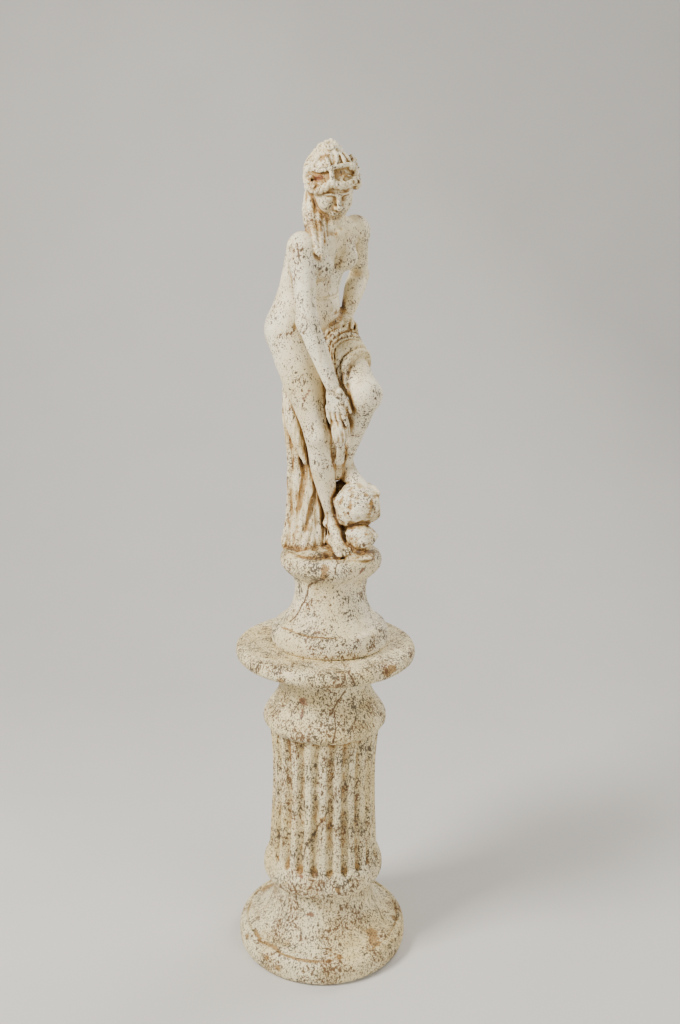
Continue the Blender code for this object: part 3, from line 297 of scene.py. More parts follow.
# Sections of the trunk: height, centre x and y, side tilt, half width, depth in front and behind
TRUNK = np.array(
    [
        (340, -42, 36, -0.08, 40, 36, 32), (358, -44, 38, -0.08, 60, 44, 43),
        (380, -47, 40, -0.10, 73, 49, 50), (404, -49, 39, -0.10, 76, 52, 54),
        (430, -49, 37, -0.08, 73, 53, 55), (454, -48, 34, 0.02, 67, 53, 55),
        (476, -45, 31, 0.10, 62, 50, 52), (500, -38, 24, 0.20, 63, 48, 52), (524, -30, 16, 0.27, 67, 46, 55),
        (550, -20, 12, 0.29, 68, 41, 55), (572, -10, 9, 0.29, 58, 32, 44), (592, -6, 5, 0.29, 36, 22, 29),
    ],
    float,
)
SECTION = curve(TRUNK[:, 0], TRUNK[:, 1:])


def trunk():
    """The trunk as a stack of sections that tilt to the side with the hips and the shoulders."""

    def distance(p):
        z = p[:, 2]
        for _ in range(3):
            x, y, tilt, half, fore, back = SECTION(z).T
            q = p - np.stack([x, y, z], 1)
            side = q @ LEFT
            z = p[:, 2] - tilt * side
        depth = (p[:, 0] - x) * FORWARD[0] + (p[:, 1] - y) * FORWARD[1]
        reach = np.where(depth > 0, fore, back)
        rho = np.sqrt((side / half) ** 2 + (depth / reach) ** 2)
        steep = np.sqrt((side / half**2) ** 2 + (depth / reach**2) ** 2)
        d = rho * (rho - 1) / np.maximum(steep, 1e-6)
        d = np.where(rho < 0.3, -0.7 * np.minimum(half, reach), d)
        return smooth_max(smooth_max(d, z - TRUNK[-1, 0], 14), TRUNK[0, 0] - z, 20)

    return Shape(distance, (-145, -55, 310), (95, 130, 635))


def on_trunk(z, angle, lift=0.0):
    """A point on the trunk at a height and an angle round from the front towards the left side."""
    x, y, tilt, half, fore, back = SECTION(np.array([float(z)]))[0]
    g = np.radians(angle)
    side = (half + lift) * np.sin(g)
    depth = ((fore if abs(angle) < 90 else back) + lift) * np.cos(g)
    return vec(x, y, z + tilt * side) + LEFT * side + FORWARD * depth


def with_radius(points, radii):
    return [tuple(p) + (r,) for p, r in zip(points, radii)]


def in_head(left, forward, up):
    return HEAD + HEAD_LEFT * left + FACE * forward + CROWN * up


def head_rows(rows):
    return [tuple(in_head(a, b, c)) + (r,) for a, b, c, r in rows]


def body(clay):
    clay.add(trunk(), 0)
    clay.add(ball(PELVIS - LEFT * 33 - FORWARD * 25 + UP * 6, (34, 34, 40)), 14)
    clay.add(ball(PELVIS + LEFT * 34 - FORWARD * 25 - UP * 6, (35, 35, 38)), 14)
    clay.add(ball((-20, 12, 446), (32, 26, 32), BODY_AXES), 16)
    for side, z in ((-1, 519), (1, 537)):
        chest = vec(-27, 17, z) + LEFT * side * 31
        clay.add(ball(chest + FORWARD * 35, (24, 24, 23), BODY_AXES), 14)
        clay.add(ball(chest + FORWARD * 30 + UP * 16, (22, 14, 26), BODY_AXES), 14)
        blade = vec(-16, 10, 556 + side * 12) + LEFT * side * 36
        clay.add(ball(blade - FORWARD * 34, (22, 14, 30), BODY_AXES), 16)
    # Neck, slopes of the shoulders, collar bones and the pit between them
    clay.add(cone((-13, 8, 572), in_head(0, -14, -22), 25, 21.5), 16)
    clay.add(cone((-10, 8, 588), (34, 52, 584), 17, 18), 24)
    clay.add(cone((-12, 4, 582), (-48, -36, 552), 16, 19), 24)
    clay.tube([(6, -24, 573, 4), (22, 2, 584, 4.5), (42, 36, 594, 4)], 8)
    clay.tube([(0, -28, 569, 4), (-18, -44, 564, 4.5), (-40, -56, 558, 4)], 8)
    clay.cut(ball((4, -31, 579), (6, 6, 8)), 8)
    # Line down the front, crease of the belly, navel and spine
    clay.tube(with_radius([on_trunk(z, 4, 3.5) for z in (552, 530, 505, 482)], (3.2,) * 4), 9, cut=True)
    crease = ((470, -50), (465, -20), (466, 10), (471, 40))
    clay.tube(with_radius([on_trunk(z, g, 2.2) for z, g in crease], (1.8, 2.6, 2.8, 2.2)), 4, cut=True)
    clay.cut(ball(on_trunk(446, 2, 9.5), (3, 3.4, 3.6)), 4)
    spine = [on_trunk(z, 180, 4) for z in range(404, 573, 24)]
    clay.tube(with_radius(spine, (7,) * len(spine)), 12, cut=True)


def arms(clay):
    upper = (0, 0.3, 0.65, 1)
    lower = (0, 0.25, 0.6, 1)
    clay.add(ball(SHOULDER_R, (24, 24, 28)), 20)
    widths = (23, 21, 18.5, 16.5), (22, 21, 19, 17), (22, 22, 20, 17)
    clay.add(loft(SHOULDER_R, ELBOW_R, -FORWARD, upper, *widths), 14)
    widths = (16.5, 18.5, 16, 12.5), (16, 18, 14, 10), (16, 17, 13, 9.5)
    clay.add(loft(ELBOW_R, WRIST_R, heading(20)[0], lower, *widths), 16)
    clay.add(ball(SHOULDER_L, (23, 23, 27)), 20)
    widths = (22, 21, 19, 17), (22, 21, 19, 17), (22, 22, 19, 16)
    clay.add(loft(SHOULDER_L, ELBOW_L, FORWARD, upper, *widths), 14)
    widths = (17, 19, 17, 13), (17, 19, 16, 12), (18, 21, 18, 12)
    clay.add(loft(ELBOW_L, WRIST_L, heading(90)[0], lower, *widths), 8)


def hand(clay, wrist, aim, palm, length, spread, curl, thumb_out, side_sign):
    """A hand: aim runs along the fingers, palm is the way it faces; the thumb is on the given side."""
    aim = unit(aim)
    palm = unit(palm - aim * (palm @ aim))
    side = np.cross(aim, palm) * side_sign
    size = length
    knuckles = wrist + aim * size * 0.50
    widths = (0.135 * size, 0.19 * size, 0.215 * size), (0.10 * size,) * 3, (0.085 * size,) * 3
    clay.add(loft(wrist, knuckles, palm, (0, 0.4, 1), *widths), 5)
    for i, share in enumerate((0.40, 0.47, 0.45, 0.36)):
        place = i - 1.5
        reach = share * size
        r = 0.062 * size
        start = knuckles + side * place * 0.115 * size - aim * 0.04 * size
        middle = start + unit(aim + side * place * spread + palm * curl * 0.5) * reach * 0.55
        tip = middle + unit(aim + side * place * spread * 0.5 + palm * curl * 1.6) * reach * 0.45
        clay.add(cone(start, middle, r * 1.12, r), 1.8)
        clay.add(cone(middle, tip, r, r * 0.82), 1.5)
    root = wrist + aim * size * 0.12 - side * 0.15 * size
    joint = root + unit(aim - side * thumb_out + palm * 0.3) * size * 0.27
    tip = joint + unit(aim - side * 0.1 + palm * 0.3) * size * 0.22
    clay.add(cone(root, joint, 0.085 * size, 0.072 * size), 4)
    clay.add(cone(joint, tip, 0.07 * size, 0.055 * size), 2)


def foot(clay, ankle, aim, length, sole, side_sign):
    """A foot: aim runs from heel to toes, sole is how far it lies under the ankle."""
    aim = unit(aim)
    size = length
    side = unit(np.cross(aim, UP)) * side_sign
    up = np.cross(side, aim) * side_sign
    heel = ankle - aim * 0.17 * size - up * (sole - 0.10 * size)
    pad = ankle + aim * 0.47 * size - up * (sole - 0.075 * size)
    clay.add(ball(heel, (0.115 * size, 0.115 * size, 0.11 * size)), 8)
    clay.add(cone(heel, pad + side * 0.05 * size, 0.10 * size, 0.085 * size), 6)
    clay.add(cone(heel, pad - side * 0.08 * size, 0.10 * size, 0.065 * size), 6)
    clay.add(cone(ankle + aim * 0.02 * size, pad + side * 0.02 * size, 0.12 * size, 0.075 * size), 10)
    toes = (
        (0.135, 0.24, 0.058), (0.055, 0.245, 0.042), (-0.015, 0.22, 0.039), (-0.08, 0.19, 0.036),
        (-0.14, 0.15, 0.033),
    )
    for place, reach, thick in toes:
        r = thick * size
        start = pad + side * place * 0.8 * size + aim * 0.02 * size + up * 0.01 * size
        middle = pad + side * place * size + aim * reach * 0.6 * size + up * 0.01 * size
        tip = pad + side * place * size + aim * reach * 1.05 * size - up * (0.075 * size - r)
        clay.add(cone(start, middle, r * 1.05, r), 2.2)
        clay.add(cone(middle, tip, r, r * 0.95), 2)
    knob = (0.06 * size, 0.06 * size, 0.065 * size)
    for s in (-1, 1):
        clay.add(ball(ankle + side * s * 0.105 * size - up * 0.02 * size, knob), 6)


def legs(clay):
    thigh = (0, 0.2, 0.45, 0.7, 0.88, 1)
    front = heading(42)[0]
    widths = (44, 43, 38, 30, 24.5, 22.5), (42, 42, 38, 31, 25, 23), (44, 43, 38, 30, 25, 22)
    clay.add(loft(HIP_R, KNEE_R, front, thigh, *widths), 16)
    front = heading(25)[0]
    shin = (0, 0.15, 0.35, 0.6, 0.85, 1)
    widths = (22.5, 22, 22.5, 18.5, 13, 11.5), (22, 19, 16, 13, 11, 10), (21, 24, 28, 23, 15, 12.5)
    clay.add(loft(KNEE_R, ANKLE_R, front, shin, *widths), 6)
    knee_axes = np.stack([heading(25)[1], front, UP])
    clay.add(ball(KNEE_R + front * 12 + UP * 2, (13, 11, 16), knee_axes), 8)
    foot(clay, ANKLE_R, vec(0.34, -0.9, -0.04), 116, 46, 1)
    raised = (0, 0.2, 0.5, 0.8, 1)
    widths = (46, 45, 40, 32, 28), (44, 44, 40, 32, 28), (44, 44, 38, 28, 24)
    clay.add(loft(HIP_L, KNEE_L, heading(60)[0] + UP, raised, *widths), 16)
    front = heading(BODY_TURN)[0]
    widths = (25, 23.5, 22, 18, 13, 12), (26, 24, 21, 16, 12, 12), (20, 24, 26, 21, 14, 13)
    clay.add(loft(KNEE_L, ANKLE_L, front, shin, *widths), 16)
    clay.add(ball(KNEE_L + front * 7 + UP * 1, (18, 15, 20), BODY_AXES), 16)
    foot(clay, ANKLE_L, vec(0.62, -0.70, -0.28), 116, 30, -1)


def head(clay):
    def mass(left, forward, up, radii, k):
        clay.add(ball(in_head(left, forward, up), radii, HEAD_AXES), k)

    def line(rows, k, cut=False):
        clay.tube(head_rows(rows), k, cut=cut)

    mass(0, -8, 14, (39, 47, 42), 10)
    mass(0, 10, -10, (32, 33, 40), 14)
    mass(0, 20, -32, (21, 21, 19), 12)
    mass(0, 35, -45, (9, 8, 8), 9)
    for s in (-1, 1):
        mass(s * 17, 26, -17, (12, 11, 14), 9)
        mass(s * 22, 4, -30, (9, 16, 12), 9)
    # Sockets, closed lids and brows
    for s in (-1, 1):
        clay.cut(ball(in_head(s * 13.5, 44.5, 1.5), (9.5, 6, 6), HEAD_AXES), 6)
        mass(s * 13.5, 33.2, 1.0, (9, 9.2, 7), 1.5)
        line(((s * 4, 42, 6.5, 1.8), (s * 12, 42.5, 9.5, 2.2), (s * 22, 35, 6.5, 1.6)), 4)
        line(((s * 5, 38.5, -2, 0.9), (s * 13, 42.2, -3.8, 1.0), (s * 21.5, 36, -1.5, 0.8)), 1)
        line(((s * 6, 40, 4.8, 0.7), (s * 13, 42.6, 5.6, 0.8), (s * 21, 36.5, 3.8, 0.6)), 1.2, cut=True)
    # Nose
    clay.add(cone(in_head(0, 41, 7), in_head(0, 51.5, -12), 3.6, 4.4), 5)
    mass(0, 50, -14.5, (4.6, 4.8, 4.2), 3)
    for s in (-1, 1):
        mass(s * 5.2, 45.5, -15.5, (3.4, 4.2, 3.4), 2.5)
    # Lips and the hollow under them
    mass(0, 40.5, -26.5, (11, 5.5, 7.5), 5)
    line(((-9, 40.5, -26, 1.0), (-3.5, 44.6, -24.4, 1.7), (3.5, 44.6, -24.4, 1.7), (9, 40.5, -26, 1.0)), 1.6)
    line(((-8, 40.5, -28.2, 1.2), (0, 44, -29.6, 2.2), (8, 40.5, -28.2, 1.2)), 1.6)
    line(((-10, 41.5, -26.9, 0.6), (0, 47.4, -27, 0.7), (10, 41.5, -26.9, 0.6)), 0.8, cut=True)
    clay.cut(ball(in_head(0, 44.5, -35.5), (7, 3, 3), HEAD_AXES), 4)


def rope(clay, rows, turns, strands, k=1.6, count=20, lift=0.55, size=0.62):
    """Strands wound round a curve whose rows carry its own thickness."""
    q = along(rows, count)
    t = np.linspace(0, 1, len(q))
    run = np.gradient(q[:, :3], axis=0)
    run /= np.linalg.norm(run, axis=1, keepdims=True)
    u = np.cross(run, vec(0.3, 0.2, 1))
    u /= np.linalg.norm(u, axis=1, keepdims=True)
    v = np.cross(run, u)
    for strand in range(strands):
        a = 2 * np.pi * (turns * t + strand / strands)
        off = np.cos(a)[:, None] * u + np.sin(a)[:, None] * v
        points = q[:, :3] + off * (q[:, 3] * lift)[:, None]
        clay.tube(np.c_[points, q[:, 3] * size], k, count=len(q) * 2)


DOME_CENTRE = (0, -8, 14)
DOME_RADII = (40, 48, 42.5)


def on_dome(azimuth, elevation, lift):
    """Left, forward and up of the head, at a bearing from the face and an angle of height, over the hair."""
    a, e = np.radians(azimuth), np.radians(elevation)
    way = vec(np.sin(a) * np.cos(e), np.cos(a) * np.cos(e), np.sin(e))
    return np.array(DOME_CENTRE) + way * (np.array(DOME_RADII) + lift)


def hair(clay):
    def bearings(places, r, lift=3.0):
        return [tuple(in_head(*on_dome(a, e, lift))) + (r,) for a, e in places]

    clay.add(ball(in_head(0, -13, 17), (42, 46, 41), HEAD_AXES), 3)
    clay.add(ball(in_head(0, -40, -10), (29, 21, 29), HEAD_AXES), 6)
    # Garland of two waves that part over the brow and rise round a window of plain hair on each side
    left_wave = ((-17, 21), (-27, 11), (-42, -1), (-60, -12), (-80, -13), (-95, 0), (-93, 16), (-84, 27))
    right_wave = ((-17, 21), (-6, 15), (10, 13), (28, 11), (46, 14), (59, 21), (60, 31), (48, 42))
    for s, wave in ((-1, left_wave), (1, right_wave)):
        rope(clay, bearings(wave, 6.8, 3.0), 3.0 * s, 3, k=1.2, count=34, lift=0.5, size=0.62)
    # Ribbon of plaited hair across the crown, and the straps that tie it to the parting and the knot
    ribbon = ((-88, 24), (-52, 36), (-24, 48), (6, 52), (35, 50), (60, 40), (88, 30), (118, 16))
    clay.tube(bearings(ribbon, 4.4, 2.6), 1.2, count=24)
    clay.tube(bearings(((-17, 20), (-19, 34), (-24, 47)), 4.8, 2.6), 1.5)
    straps = (
        ((-84, 27), (-86, 46), (-107, 66)), ((-28, 50), (-50, 64), (-107, 67)),
        ((-4, 52), (4, 66), (40, 80)), ((32, 51), (44, 62), (70, 74)), ((62, 41), (74, 54), (95, 66)),
    )
    for strap in straps:
        clay.tube(bearings(strap, 3.8, 2.2), 1.2)
    # Strands inside the windows
    strands = (
        ((-34, 16), (-50, 24), (-70, 12)), ((-38, 2), (-54, 8), (-72, 0)), ((4, 20), (20, 32), (38, 24)),
        ((6, 10), (24, 18), (42, 16)),
    )
    for strand in strands:
        clay.tube(bearings(strand, 2.6, -0.4), 1.0)
    # Waves swept back over the ears and the back of the head
    for s in (-1, 1):
        ear = ((s * 58, 2), (s * 74, -16), (s * 92, -24), (s * 116, -18), (s * 142, -26), (s * 165, -34))
        rope(clay, bearings(ear, 7.5, 3.5 + 1.5 * s), 2.4 * s, 3, k=1.4, count=28)
        for place, rise in enumerate((14, 0, 32)):
            front = (s * (66 + 6 * place), rise)
            sweep = (front, (s * 96, rise - 2), (s * 130, rise - 14), (s * 160, rise - 34))
            rope(clay, bearings(sweep, 6.0, 3.5 + 1.5 * s), 2.0 * s, 2, k=1.4, count=22)
    # Knot of three coils
    clay.add(ball(in_head(-1, -22, 48), (20, 20, 18), HEAD_AXES), 4)
    for i, (radius, up) in enumerate(((21.5, 44), (18, 53.5), (9.5, 61.5))):
        a = 2 * np.pi * np.arange(7) / 6 + i
        across = radius * np.sin(a) - 1
        ahead = radius * np.cos(a) - 22
        coil = np.stack([across, ahead, up + 2 * np.sin(2 * a + i), np.full(7, 6.5)], 1)
        rope(clay, head_rows(coil), 5, 2, k=1.0, count=32, lift=0.5, size=0.6)
    # Strands combed up the back of the head
    for i in range(7):
        side = (i - 3) * 10
        low = (side, -54 + abs(side) * 0.35, -18, 6)
        clay.tube(head_rows((low, (side * 1.1, -60 + abs(side) * 0.4, 8, 7), (side * 0.6, -46, 40, 6))), 2.5)
    # Long lock over the right shoulder
    for i, (o, b) in enumerate(((0, 0), (7, 3), (-6, 2), (2, -7), (12, -3))):
        lock = (
            (-40 + o * 0.4, 4 + b, 662, 10), (-41 + o * 0.4, 3 + b, 644, 9), (-42 + o, -6 + b, 622, 8.5),
            (-40 + o, -20 + b, 600, 8), (-36 + o, -40 + b, 578, 7),
            (-31 + o * 0.8, -58 + b * 0.6, 560 - i * 2, 5), (-25 + o * 0.5, -64, 546 - i * 3, 2),
        )
        clay.tube(lock, 2.2, count=10)
    for o, b in ((0, 0), (9, 4)):
        lock = (
            (-20 + o, -2 + b, 640, 5), (-24 + o, -14 + b, 620, 6), (-27 + o, -24 + b, 600, 6),
            (-26 + o, -38 + b, 580, 5), (-22 + o, -50 + b, 562, 3),
        )
        clay.tube(lock, 2.2)


# The raised thigh's own directions, and the grooves between its folds: angles round the thigh from
# its top towards the inside, and how far along the thigh each groove lies at those angles
THIGH_AXIS = unit(KNEE_L - HIP_L)
THIGH_LENGTH = float(np.linalg.norm(KNEE_L - HIP_L))
THIGH_UP = unit(vec(0.1, -0.25, 1) - THIGH_AXIS * (vec(0.1, -0.25, 1) @ THIGH_AXIS))
THIGH_INNER = unit(np.cross(THIGH_AXIS, THIGH_UP))
FOLD_ANGLES = np.array([-180, -110, -60, -30, -12, 8, 24, 38, 50, 66, 90, 115, 180], float)
FOLD_LINES = np.array(
    [
        (0.22, 0.16, 0.18, 0.20, 0.21, 0.21, 0.22, 0.24, 0.28, 0.30, 0.32, 0.32, 0.22),
        (0.34, 0.27, 0.27, 0.27, 0.27, 0.28, 0.29, 0.31, 0.36, 0.42, 0.46, 0.46, 0.34),
        (0.46, 0.36, 0.35, 0.34, 0.34, 0.36, 0.38, 0.40, 0.46, 0.54, 0.60, 0.60, 0.46),
        (0.56, 0.43, 0.42, 0.41, 0.41, 0.42, 0.43, 0.45, 0.51, 0.61, 0.70, 0.72, 0.56),
        (0.66, 0.50, 0.48, 0.46, 0.455, 0.46, 0.475, 0.50, 0.56, 0.68, 0.80, 0.84, 0.66),
        (0.74, 0.60, 0.56, 0.55, 0.57, 0.60, 0.625, 0.645, 0.68, 0.77, 0.90, 0.95, 0.74),
        (0.80, 0.68, 0.65, 0.64, 0.645, 0.685, 0.725, 0.76, 0.80, 0.86, 0.97, 0.99, 0.80),
    ]
)
FOLD_DEPTHS = np.array([1.5, 4.0, 4.5, 4.5, 5.0, 7.0, 0.0])


def thigh_cloth():
    """Cloth laid over the raised thigh: rounded folds, sharp grooves between them, and a hem."""

    def distance(p):
        q = p - HIP_L
        t = (q @ THIGH_AXIS) / THIGH_LENGTH
        u = q @ THIGH_UP
        v = q @ THIGH_INNER
        r = np.hypot(u, v)
        angle = np.degrees(np.arctan2(v, u))
        lines = np.stack([np.interp(angle, FOLD_ANGLES, line) for line in FOLD_LINES])
        relief = np.zeros(len(p))
        for i in range(len(lines) - 1):
            gap = lines[i + 1] - lines[i]
            place = np.clip((t - lines[i]) / gap, 0, 1)
            within = (t >= lines[i]) & (t < lines[i + 1])
            lower = FOLD_DEPTHS[i] * np.exp(-place * gap * THIGH_LENGTH / 3.0)
            upper = FOLD_DEPTHS[i + 1] * np.exp(-(1 - place) * gap * THIGH_LENGTH / 3.0)
            swell = 2.6 * np.sin(np.pi * place)
            relief = np.where(within, swell - lower - upper, relief)
        side = np.clip((np.abs(angle) - 40) / 50, 0, 1)
        under = np.clip((np.abs(angle) - 90) / 60, 0, 1)
        cover = 55.0 - 12.5 * t - (12.0 * side + 6.0 * under) * np.clip(t, 0, 1)
        d = (r - cover - relief) * 0.85
        d = smooth_max(d, (t - lines[-1]) * THIGH_LENGTH * 0.9, 2.5)
        return smooth_max(d, (0.12 - t) * THIGH_LENGTH, 8)

    low = np.minimum(HIP_L, KNEE_L) - 60
    return Shape(distance, low, np.maximum(HIP_L, KNEE_L) + 60)


def drapery(clay):
    """Cloth over the thigh, hanging between the legs, crumpled under one hand and bunched in the other."""
    clay.add(thigh_cloth(), 2)
    # Panel hanging between the legs
    widths = (27, 23, 20), (12, 11, 12), (14, 12, 14)
    clay.add(loft((2, -4, 352), (8, 18, 140), (0.2, -1, 0), (0, 0.4, 1), *widths), 6)
    for i in range(4):
        fold = (
            (-4 + i * 7, -24 + i * 2, 350, 5), (i * 7, -27, 318, 6), (2 + i * 7, -23 + i, 282, 6),
            (2 + i * 7, -10, 230, 6), (2 + i * 6, 0, 170, 6),
        )
        clay.tube(fold, 3)
    # Crumpled cloth gathered under the left hand
    for i in range(6):
        a = np.radians(-70 + 34 * i)
        top = WRIST_L + vec(-2 + 14 * np.sin(a), -24 - 7 * np.cos(a), -10)
        low = WRIST_L + vec(-4 + 24 * np.sin(a), -32 - 12 * np.cos(a), -34)
        bend = top * 0.5 + low * 0.5 + vec(2 * np.sin(7 * a), -2, 3)
        clay.tube(with_radius((top, bend, low), (2.5, 4.2, 3)), 2)
    # Bunch gathered in the right hand
    widths = (9, 13, 13, 7), (8, 12, 12, 7), (8, 10, 10, 7)
    clay.add(loft((14, -52, 262), (16, -46, 206), (0, -1, 0), (0, 0.3, 0.7, 1), *widths), 4)
    pleat = ((0, 262, 7, 2.5), (0.3, 240, 15, 4), (0.7, 222, 14, 3.5), (0.9, 204, 6, 2.5))
    for i in range(5):
        a = np.radians(-60 + 30 * i)
        row = []
        for twist, z, ring, r in pleat:
            row.append((15.5 + ring * np.sin(a + twist), -49 - ring * 0.9 * np.cos(a + twist), z, r))
        clay.tube(row, 1.6)
    clay.tube([(16, -44, 216, 6), (18, -30, 196, 7), (16, -12, 180, 7), (12, 8, 160, 8)], 5)


def support(clay):
    """Cloth falling behind the standing leg to the ground."""
    widths = (28, 29, 28, 34), (20, 20, 22, 28), (24, 28, 28, 34)
    clay.add(loft((-50, 44, 306), (-44, 46, 10), (0, -1, 0), (0, 0.3, 0.7, 1), *widths), 12)
    sides = 12
    for i in range(sides):
        a = 2 * np.pi * i / sides
        sway = 5 * np.sin(i * 2.3)
        spread = vec(np.cos(a), np.sin(a), 0)
        top = vec(-50, 46, 300 - 6 * np.cos(3 * a)) + spread * 27
        middle = vec(-44 + sway, 50, 160) + spread * 32
        low = vec(-38, 48, 50) + spread * 33
        hem = vec(-44, 46, 5) + spread * 41
        clay.tube(with_radius((top, middle, low, hem), (7, 8.5 + sway * 0.3, 9, 11)), 5, count=14)
    sweeps = 7
    for i in range(sweeps):
        t = i / (sweeps - 1)
        top = vec(-78 + 58 * t, 48 - 20 * t, 285 - 190 * t**0.8)
        bottom = vec(-84 + 72 * t, 36 - 40 * np.sin(np.pi * (0.15 + 0.7 * t)), 4)
        middle = top * 0.5 + bottom * 0.5 + vec(6 - 3 * t, -4, 0)
        low = top * 0.16 + bottom * 0.84 + vec(5, 5, 0)
        r = 8.5 - 3.5 * t
        clay.tube(with_radius((top, middle, low, bottom), (r, r, r, r + 1.5)), 3, count=16)
    # Deep gaps between the hanging folds
    gaps = (
        (12, ((-47, 8, 172, 3), (-50, 10, 135, 5), (-56, 8, 95, 5), (-62, 8, 62, 3))),
        (12, ((-30, 16, 112, 3), (-34, 12, 84, 6), (-41, 4, 52, 6), (-50, -6, 20, 3))),
        (10, ((-13, 16, 72, 3), (-8, 14, 48, 7), (-6, 8, 22, 7), (-6, 4, 8, 4))),
    )
    for count, gap in gaps:
        clay.tube(gap, 2, count=count, cut=True)
    for i in range(3):
        clay.tube([(-15 + i * 6, 24, 66, 2.2), (-14 + i * 5, 18, 38, 2.2), (-16 + i * 6, 8, 10, 2.6)], 1)
    # Two loose ends beside the thigh
    clay.tube([(-80, 42, 300, 13), (-73, 26, 255, 17), (-60, 14, 205, 13), (-46, 8, 164, 5)], 6)
    clay.tube([(-84, 56, 292, 9), (-82, 44, 250, 12), (-76, 34, 196, 9), (-70, 32, 146, 5)], 5)


def stone(centre, radii, facets, seed, axes=None, share=0.84):
    """A rounded stone with flat facets struck off it all round."""
    whole = ball(centre, radii, axes)
    radii = np.asarray(radii, float) * np.ones(3)
    axes = np.eye(3) if axes is None else axes
    random = np.random.default_rng(seed)
    ways = random.normal(size=(facets, 3))
    ways /= np.linalg.norm(ways, axis=1, keepdims=True)

    def distance(p):
        d = whole.distance(p)
        q = (p - np.asarray(centre, float)) @ axes.T
        for way in ways:
            far = np.linalg.norm(way * radii)
            d = smooth_max(d, q @ way - far * share, 3)
        return d

    return Shape(distance, whole.low, whole.high)


def rocks(clay):
    tilted = np.stack(turned_frame(20, 8, 4))
    clay.add(stone((51, 3, 86), (54, 51, 46), 16, 5, tilted), 3)
    clay.add(stone((46, 10, 66), (37, 37, 33), 12, 8), 4)
    clay.add(ball((24, 38, 94), (30, 26, 34)), 8)
    clay.add(stone((59, -27, 30), (33, 30, 28), 12, 11), 2)
    clay.add(ball((30, 58, 40), (42, 30, 44)), 12)
    # Ground and a flat stone
    clay.add(ball((SOCLE_SHIFT, 2, -10), (GROUND_RADIUS, GROUND_RADIUS, 15)), 6)
    clay.add(ball((-30, -52, 3), (28, 18, 7)), 4)
    clay.add(ball((52, -44, 0), (32, 30, 8)), 5)


def ripple(points, scale, seed, waves=14):
    """A smooth random field of about plus or minus one, whose bumps are this many millimetres apart."""
    random = np.random.default_rng(seed)
    total = np.zeros(len(points))
    for _ in range(waves):
        way = unit(random.normal(size=3)) * 2 * np.pi / (scale * random.uniform(0.7, 1.6))
        total += np.sin(points @ way + random.uniform(0, 2 * np.pi))
    return total / np.sqrt(waves * 0.5) * 0.7


def smooth_profile(rows, count):
    """Evenly spaced heights and radii on the smooth curve through a turned profile."""
    rows = np.asarray(rows, float)
    flat = np.c_[rows[:, 1], rows[:, 0], np.zeros(len(rows))]
    q = along(flat, count)
    return q[:, 1], q[:, 0]


SOCLE_HEIGHT = SOCLE_BASE_HEIGHT + SOCLE_STEM_HEIGHT + SOCLE_TOP_HEIGHT


def socle_profile():
    """Height and radius of the socle in metres from its underside."""
    base = ((0, 0.955), (0.10, 0.985), (0.32, 1), (0.62, 0.982), (0.88, 0.94), (1, 0.905))
    rows = moulding(base, 0, SOCLE_BASE_HEIGHT, 0, SOCLE_RADIUS)
    z = SOCLE_BASE_HEIGHT
    stem = (
        (0.01, 0.90), (0.10, 0.66), (0.22, 0.36), (0.38, 0.15), (0.57, 0.02), (0.73, 0), (0.89, 0.07),
        (1, 0.18),
    )
    rows += moulding(stem, z, SOCLE_STEM_HEIGHT, SOCLE_STEM_RADIUS, SOCLE_RADIUS * 0.885)
    z += SOCLE_STEM_HEIGHT
    top = ((0.05, 0.83), (0.19, 0.90), (0.40, 0.98), (0.62, 1), (0.80, 0.982), (0.90, 0.955), (1, 0.90))
    rows += moulding(top, z, SOCLE_TOP_HEIGHT, 0, SOCLE_TOP_RADIUS)
    return rows


def moulding(shares, base_z, height, base_radius, radius):
    """Heights and radii of a moulding, from shares of its height and of the way between two radii."""
    return [(base_z + z * height, base_radius + r * (radius - base_radius)) for z, r in shares]


SOCLE_ROWS = np.array(socle_profile()) / SCALE
SOCLE_ROWS[:, 0] -= SOCLE_HEIGHT / SCALE


def turned_socle():
    """The socle under the ground as a turned shape in drawn millimetres."""
    heights = np.linspace(SOCLE_ROWS[0, 0], SOCLE_ROWS[-1, 0], 900)
    radii = np.interp(heights, SOCLE_ROWS[:, 0], SOCLE_ROWS[:, 1])
    window = np.hanning(13) / np.hanning(13).sum()
    radii = np.convolve(np.pad(radii, 6, mode="edge"), window, mode="valid")
    slopes = np.gradient(radii, heights)

    def distance(p):
        rho = np.hypot(p[:, 0] - SOCLE_SHIFT, p[:, 1])
        z = p[:, 2]
        r = np.interp(z, heights, radii)
        slope = np.interp(z, heights, slopes)
        d = (rho - r) / np.sqrt(1 + slope**2)
        return smooth_max(smooth_max(d, z - heights[-1], 1.5), heights[0] - z, 1.0)

    reach = SOCLE_ROWS[:, 1].max()
    low = vec(SOCLE_SHIFT - reach, -reach, heights[0])
    return Shape(distance, low, vec(SOCLE_SHIFT + reach, reach, heights[-1]))


def figure(points):
    """Distance from the figure, its cloth, support, rocks, ground and socle at every point."""
    clay = Clay(points)
    body(clay)
    arms(clay)
    legs(clay)
    head(clay)
    hand(clay, WRIST_R, vec(0.14, 0.12, -0.97), vec(0.55, 0.80, 0.1), 84, 0.07, 0.18, 0.35, -1)
    hand(clay, WRIST_L, vec(-0.10, -0.93, -0.30), vec(-0.1, 0.3, -1), 64, 0.14, 0.30, 0.75, 1)
    tresses = Clay(points)
    hair(tresses)
    clay.join(tresses, 1.5)
    draped = Clay(points)
    drapery(draped)
    support(draped)
    rocks(draped)
    clay.join(draped, 3)
    clay.add(turned_socle(), 1.0)
    return clay.d


